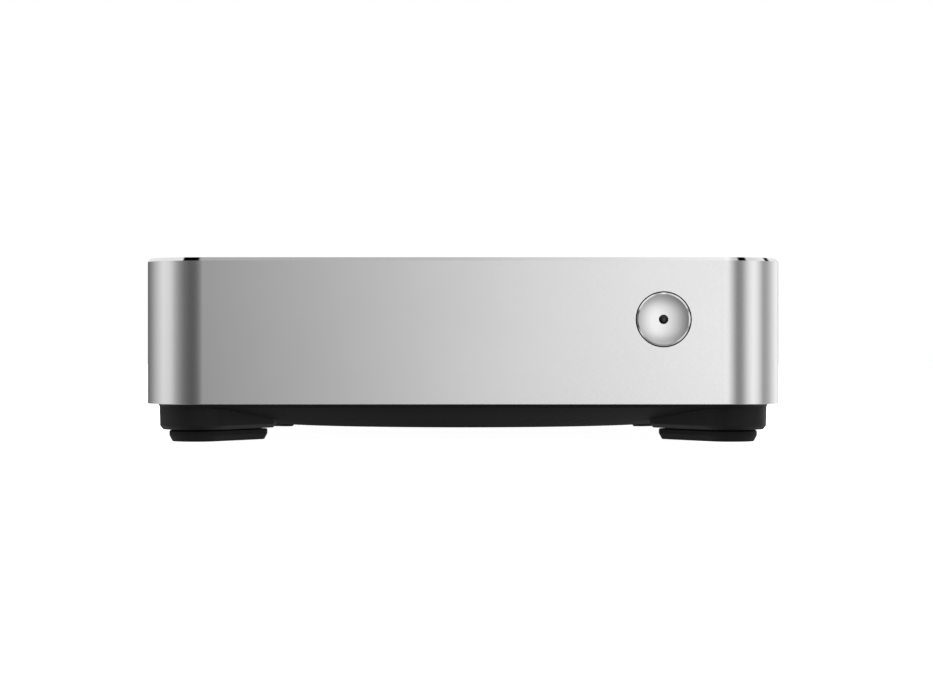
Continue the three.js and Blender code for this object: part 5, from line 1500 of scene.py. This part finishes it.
def buildDrive():
    low, high, middle = nodeBox("drive_body")
    lidLow, lidHigh, lidMiddle = nodeBox("drive_lid")
    piece = objectFrom("driveBody", plate(roundedOutline(low, high, 2), low.z, high.z), "casting")
    seatRoom = plate(roundedOutline(lidLow - Vector((0.1, 0.1, 0)), lidHigh + Vector((0.1, 0.1, 0)), 1.5),
                     lidLow.z - 0.1, high.z + 1)
    plug = block((middle.x - 20, high.y - 5, low.z + 1.2), (middle.x + 20, high.y + 1, low.z + 6.4))
    cut(piece, seatRoom, plug)
    for node in ("drive_screw_1", "drive_screw_2"):
        spot = nodeBox(node)[2]
        cut(piece, aim(rod(drive["hole"], -1, 4, (0, 0)), right, (low.x, spot.y, spot.z)))
    for k in range(5):
        y = low.y + 24 + k * 13
        cut(piece, block((high.x - 0.6, y, low.z + 1.5), (high.x + 1, y + 9, high.z - 2.5)))
    assemble(soften(piece, 0.3), "bare_aluminium", "drive_body")
    lid = objectFrom("driveLid", plate(roundedOutline(lidLow, lidHigh, 1.4), lidLow.z, lidHigh.z), "sheet")
    x, y, top = lidMiddle.x, lidMiddle.y + 6, lidHigh.z
    cut(lid, turned([(29.6, top - 0.35), (30.4, top + 1)], 96, centre=(x, y)))
    join(lid, turned([(27.2, top - 0.4), (27.2, top - 0.3), (26.4, top - 0.02)], 96, centre=(x, y)))
    cut(lid, turned([(3.4, top - 0.3), (3.8, top + 1)], 48, centre=(x, y)))
    assemble(soften(lid, 0.08), "sheet_steel", "drive_lid")
    wide, deep = drive["label"]
    label = roundedOutline((x - wide / 2, lidLow.y + 5), (x + wide / 2, lidLow.y + 5 + deep * 0.45), 1.5)
    assemble(objectFrom("driveLabel", plate(label, top - 0.02, top + 0.05), "paper"), "sheet_steel")
    build = bmesh.new()
    for a, b in ((2.6, 2.6), (2.6, 84), (63.4, 2.6), (63.4, 84), (2.6, 43), (63.4, 43)):
        spot = (low.x + 2 + a * 0.985, low.y + 1.5 + b)
        turned([(1.3, top - 0.1), (1.3, top + 0.1), (0.9, top + 0.25), (0.4, top + 0.1)], 24, centre=spot,
               build=build)
    assemble(soften(objectFrom("lidScrews", build, "screws")), "black_screw_steel")


def buildDriveBracket():
    low, high = nodeBox("drive_bracket")[:2]
    bodyLow, bodyHigh = nodeBox("drive_body")[:2]
    sheet, strip, toe = drive["sheet"], drive["strip"], drive["toe"]
    top = bodyLow.z - drive["seat"]
    piece = objectFrom("driveBracket", block((low.x, low.y, top - sheet), (high.x, high.y, top)), "sheet")
    window = roundedOutline((bodyLow.x + 10, low.y + 10), (bodyHigh.x - 10, high.y - 10), 4)
    cheek = block((low.x, low.y + 6, top - sheet), (bodyLow.x - drive["seat"], high.y, high.z))
    join(piece, cheek)
    cut(piece, plate(window, top - sheet - 1, top + 1))
    for outer, inwards in ((low.x, 1), (high.x, -1)):
        for y in (nodeBox("mainboard")[0].y + 3, high.y - strip):
            leg = sorted((outer, outer + inwards * sheet))
            foot = sorted((outer, outer + inwards * toe))
            join(piece, block((leg[0], y, low.z), (leg[1], y + strip, top)),
                 block((foot[0], y, low.z), (foot[1], y + strip, low.z + sheet)))
    for node in ("drive_screw_1", "drive_screw_2"):
        spot = nodeBox(node)[2]
        cut(piece, aim(rod(drive["hole"], -1, 3, (0, 0)), right, (low.x, spot.y, spot.z)))
    assemble(soften(piece, 0.25), "sheet_steel", "drive_bracket")


buildDrive()
buildDriveBracket()
print("drive built")

leads = {"driveWire": 0.48, "switchWire": 0.42, "antennaWire": 0.6}


# Wires lie side by side along a path, as in a flat lead.
def buildWires(name, path, radius, colours, spacing, top=up):
    for k, colour in enumerate(colours):
        offset = (k - (len(colours) - 1) / 2) * spacing
        wire = []
        turn = top
        for j, point in enumerate(path):
            along = (path[min(j + 1, len(path) - 1)] - path[max(j - 1, 0)]).normalized()
            side = along.cross(turn).normalized()
            turn = side.cross(along)
            wire.append(point + side * offset)
        piece = objectFrom(f"{name}{k + 1}", sweep(wire, circle(radius, 12), top=top), colour)
        assemble(soften(piece, angle=60), "cable_jacket")


def buildDriveLead():
    low, high, middle = nodeBox("drive_body")
    x, y, z = middle.x, high.y, low.z + 3.8
    headerX, headerY = headers[0][:2]
    headerTop = boardTop + headers[0][4] + 0.3
    path = smoothPath([(x + 12, y + 3, z), (x + 24, y + 8, z), (x + 36, y + 5, z - 2),
                       (headerX - 1, headerY + 9, z - 9), (headerX, headerY + 2, headerTop + 6),
                       (headerX, headerY, headerTop + 2)], 10)
    colours = ["pvc", "redPvc", "pvc", "greyPvc", "pvc"]
    buildWires("driveWire", path, leads["driveWire"], colours, 0.66)
    build = block((x - 19, y - 4.6, low.z + 1.6), (x + 19, y + 1.5, low.z + 6))
    block((x - 17, y + 1.4, low.z + 2), (x + 17, y + 4, low.z + 5.6), build)
    assemble(soften(objectFrom("drivePlug", build, "nylon"), 0.3), "cable_jacket", "drive_cable")
    plug = block((headerX - 3, headerY - 8.5, headerTop), (headerX + 3, headerY + 8.5, headerTop + 4))
    piece = objectFrom("headerPlug", plug, "paleNylon")
    for k in range(6):
        spot = headerY + (k - 2.5) * 2.5
        cut(piece, block((headerX - 0.7, spot - 0.7, headerTop + 3),
                         (headerX + 0.7, spot + 0.7, headerTop + 5)))
    assemble(soften(piece, 0.2), "cable_jacket")


def buildSwitchLead():
    high, middle = nodeBox("switch_board")[1:]
    x, y, z = middle.x, high.y, middle.z
    headerX, headerY = headers[2][:2]
    path = smoothPath([(x + 10.5, y - 2, z - 6), (x + 11, y + 2, z - 10), (x + 11.5, y + 7, z - 14),
                       (headerX, headerY - 1, boardTop + 7), (headerX, headerY, boardTop + 2.5)], 10)
    buildWires("switchWire", path, leads["switchWire"], ["pvc", "redPvc"], 0.9)
    plug = block((high.x + 0.3, y - 3.2, z - 8), (high.x + 3.9, y - 0.6, z - 3))
    assemble(soften(objectFrom("switchPlug", plug, "paleNylon"), 0.2), "cable_jacket", "switch_cable")


def buildAntennaLead():
    low, high, middle = nodeBox("antenna")
    cardLow, top = nodeBox("wireless_card")[0], boardTop + 2.7
    path = smoothPath([(middle.x + 26.5, cardLow.y + 5.3, top + 2.2),
                       (middle.x + 23, cardLow.y + 16.3, top + 5),
                       (middle.x + 14, cardLow.y + 34.3, boardTop + 12), (middle.x + 6, high.y - 22, 32),
                       (middle.x + 2, high.y - 8, 35.5), (middle.x + 2, low.y - 0.3, 35.6)], 10)
    piece = objectFrom("antennaLead", sweep(path, circle(leads["antennaWire"], 16)), "greyPvc")
    assemble(soften(piece, angle=60), "cable_jacket", "antenna_cable")


buildDriveLead()
buildSwitchLead()
buildAntennaLead()
print("leads built")

card = {"thick": 0.8, "canInset": (2.5, 8.3), "canSize": (17, 17)}


def buildWirelessCard():
    low, high, middle = nodeBox("wireless_card")
    top = low.z + card["thick"]
    piece = objectFrom("wirelessCard", plate(roundedOutline(low, high, 0.6), low.z, top), "board")
    cut(piece, rod(1.6, low.z - 1, top + 1, (middle.x, high.y + 0.4), 40))
    assemble(soften(piece, 0.05), "circuit_board", "wireless_card")
    x, y = low.x + card["canInset"][0], low.y + card["canInset"][1]
    can = roundedOutline((x, y), (x + card["canSize"][0], y + card["canSize"][1]), 0.8)
    piece = objectFrom("cardShield", plate(can, top, high.z), "tin")
    for k in range(4):
        cut(piece, rod(0.5, high.z - 0.15, high.z + 1, (x + 4 + k * 3, y + 3), 24))
    assemble(soften(piece, 0.2), "plated_shell")
    build = bmesh.new()
    for side in (-1, 1):
        centre = (low.x + 1.4, low.y + 5 + side * 1.6)
        turned([(1.0, top), (1.0, top + 0.9), (0.75, top + 1.1), (0.75, top + 0.6), (0.2, top + 0.6)], 32,
               centre=centre, build=build)
    for k in range(26):
        x = low.x + 1.2 + k * 0.78
        block((x - 0.25, low.y + 0.15, top - 0.01), (x + 0.25, low.y + 2.2, top + 0.03), build)
    assemble(soften(objectFrom("cardContacts", build, "gold")), "circuit_board")


# Copper foil under film: a loop that folds back on itself.
def buildAntenna():
    low, high = nodeBox("antenna")[:2]
    outline = roundedOutline((low.x, low.z), (high.x, high.z), 0.8)
    assemble(soften(objectFrom("antennaFilm", plateAlongY(outline, low.y, high.y), "film")),
             "circuit_board", "antenna")
    build = bmesh.new()
    for k in range(7):
        x = low.x + 2 + k * 4
        block((x, low.y - 0.05, low.z + 1), (x + 0.9, low.y + 0.1, high.z - 1), build)
        z = high.z - 1.9 if k % 2 == 0 else low.z + 1
        if k < 6:
            block((x, low.y - 0.05, z), (x + 4.9, low.y + 0.1, z + 0.9), build)
    assemble(objectFrom("antennaFoil", build, "drawnCopper"), "circuit_board")


buildWirelessCard()
buildAntenna()
print("wireless built")

cell = {"radius": 10, "floor": 1.0}


def buildCoinCell():
    low, high, middle = nodeBox("coin_cell_holder")
    outer, radius = (high.x - low.x) / 2, cell["radius"]
    cup = [(outer - 0.3, low.z), (outer, low.z + 0.3), (outer, high.z - 0.2), (outer - 0.2, high.z)]
    piece = objectFrom("cellHolder", turned(cup, 96, centre=(middle.x, middle.y)), "nylon")
    cut(piece, rod(radius + 0.3, low.z + cell["floor"], high.z + 1, (middle.x, middle.y), 96),
        block((middle.x + radius - 3, middle.y - 4, low.z + cell["floor"]),
              (high.x + 1, middle.y + 4, high.z + 1)),
        block((low.x - 1, middle.y - 2.5, low.z + 2.2), (low.x + 2.5, middle.y + 2.5, high.z + 1)))
    assemble(soften(piece, 0.15), "black_plastic", "coin_cell_holder")
    low, high, middle = nodeBox("coin_cell")
    build = turned([(8.2, low.z), (8.6, low.z + 0.15), (8.7, low.z + 0.5), (9.3, low.z + 0.55),
                    (9.9, low.z + 0.8), (10, low.z + 1.1), (10, high.z - 0.4), (9.85, high.z - 0.1),
                    (9.5, high.z), (8.6, high.z), (8.4, high.z - 0.08), (0.4, high.z - 0.08)], 96,
                   centre=(middle.x, middle.y))
    assemble(soften(objectFrom("coinCell", build, "nickel")), "nickel_plate", "coin_cell")


buildCoinCell()
print("coin cell built")

clip = {"thick": 0.5}


def buildClip(node, side):
    low, high, middle = nodeBox(node)
    rim = (low.x if side > 0 else high.x) + side * clip["thick"] / 2
    bulge = (high.x if side > 0 else low.x) - side * clip["thick"] / 2
    path = smoothPath([(rim, 0, low.z + 0.05), (rim, 0, low.z + 1.4), (rim + side * 0.15, 0, low.z + 2.2),
                       (bulge, 0, middle.z + 0.4), (rim + side * 0.2, 0, high.z - 1.2),
                       (rim, 0, high.z - 0.1)], 6)
    half = (high.y - low.y) / 2
    sizes = [(1 - 0.25 * (k / (len(path) - 1)) ** 2, 1) for k in range(len(path))]
    thick = clip["thick"] / 2
    build = sweep(path, roundedOutline((-half, -thick), (half, thick), 0.1, 3), top=right, sizes=sizes)
    assemble(soften(objectFrom("shellClip" + ("Right" if side > 0 else "Left"), build, "spring")),
             "spring_steel", node)


buildClip("shell_clip_right", 1)
buildClip("shell_clip_left", -1)
print("clips built")
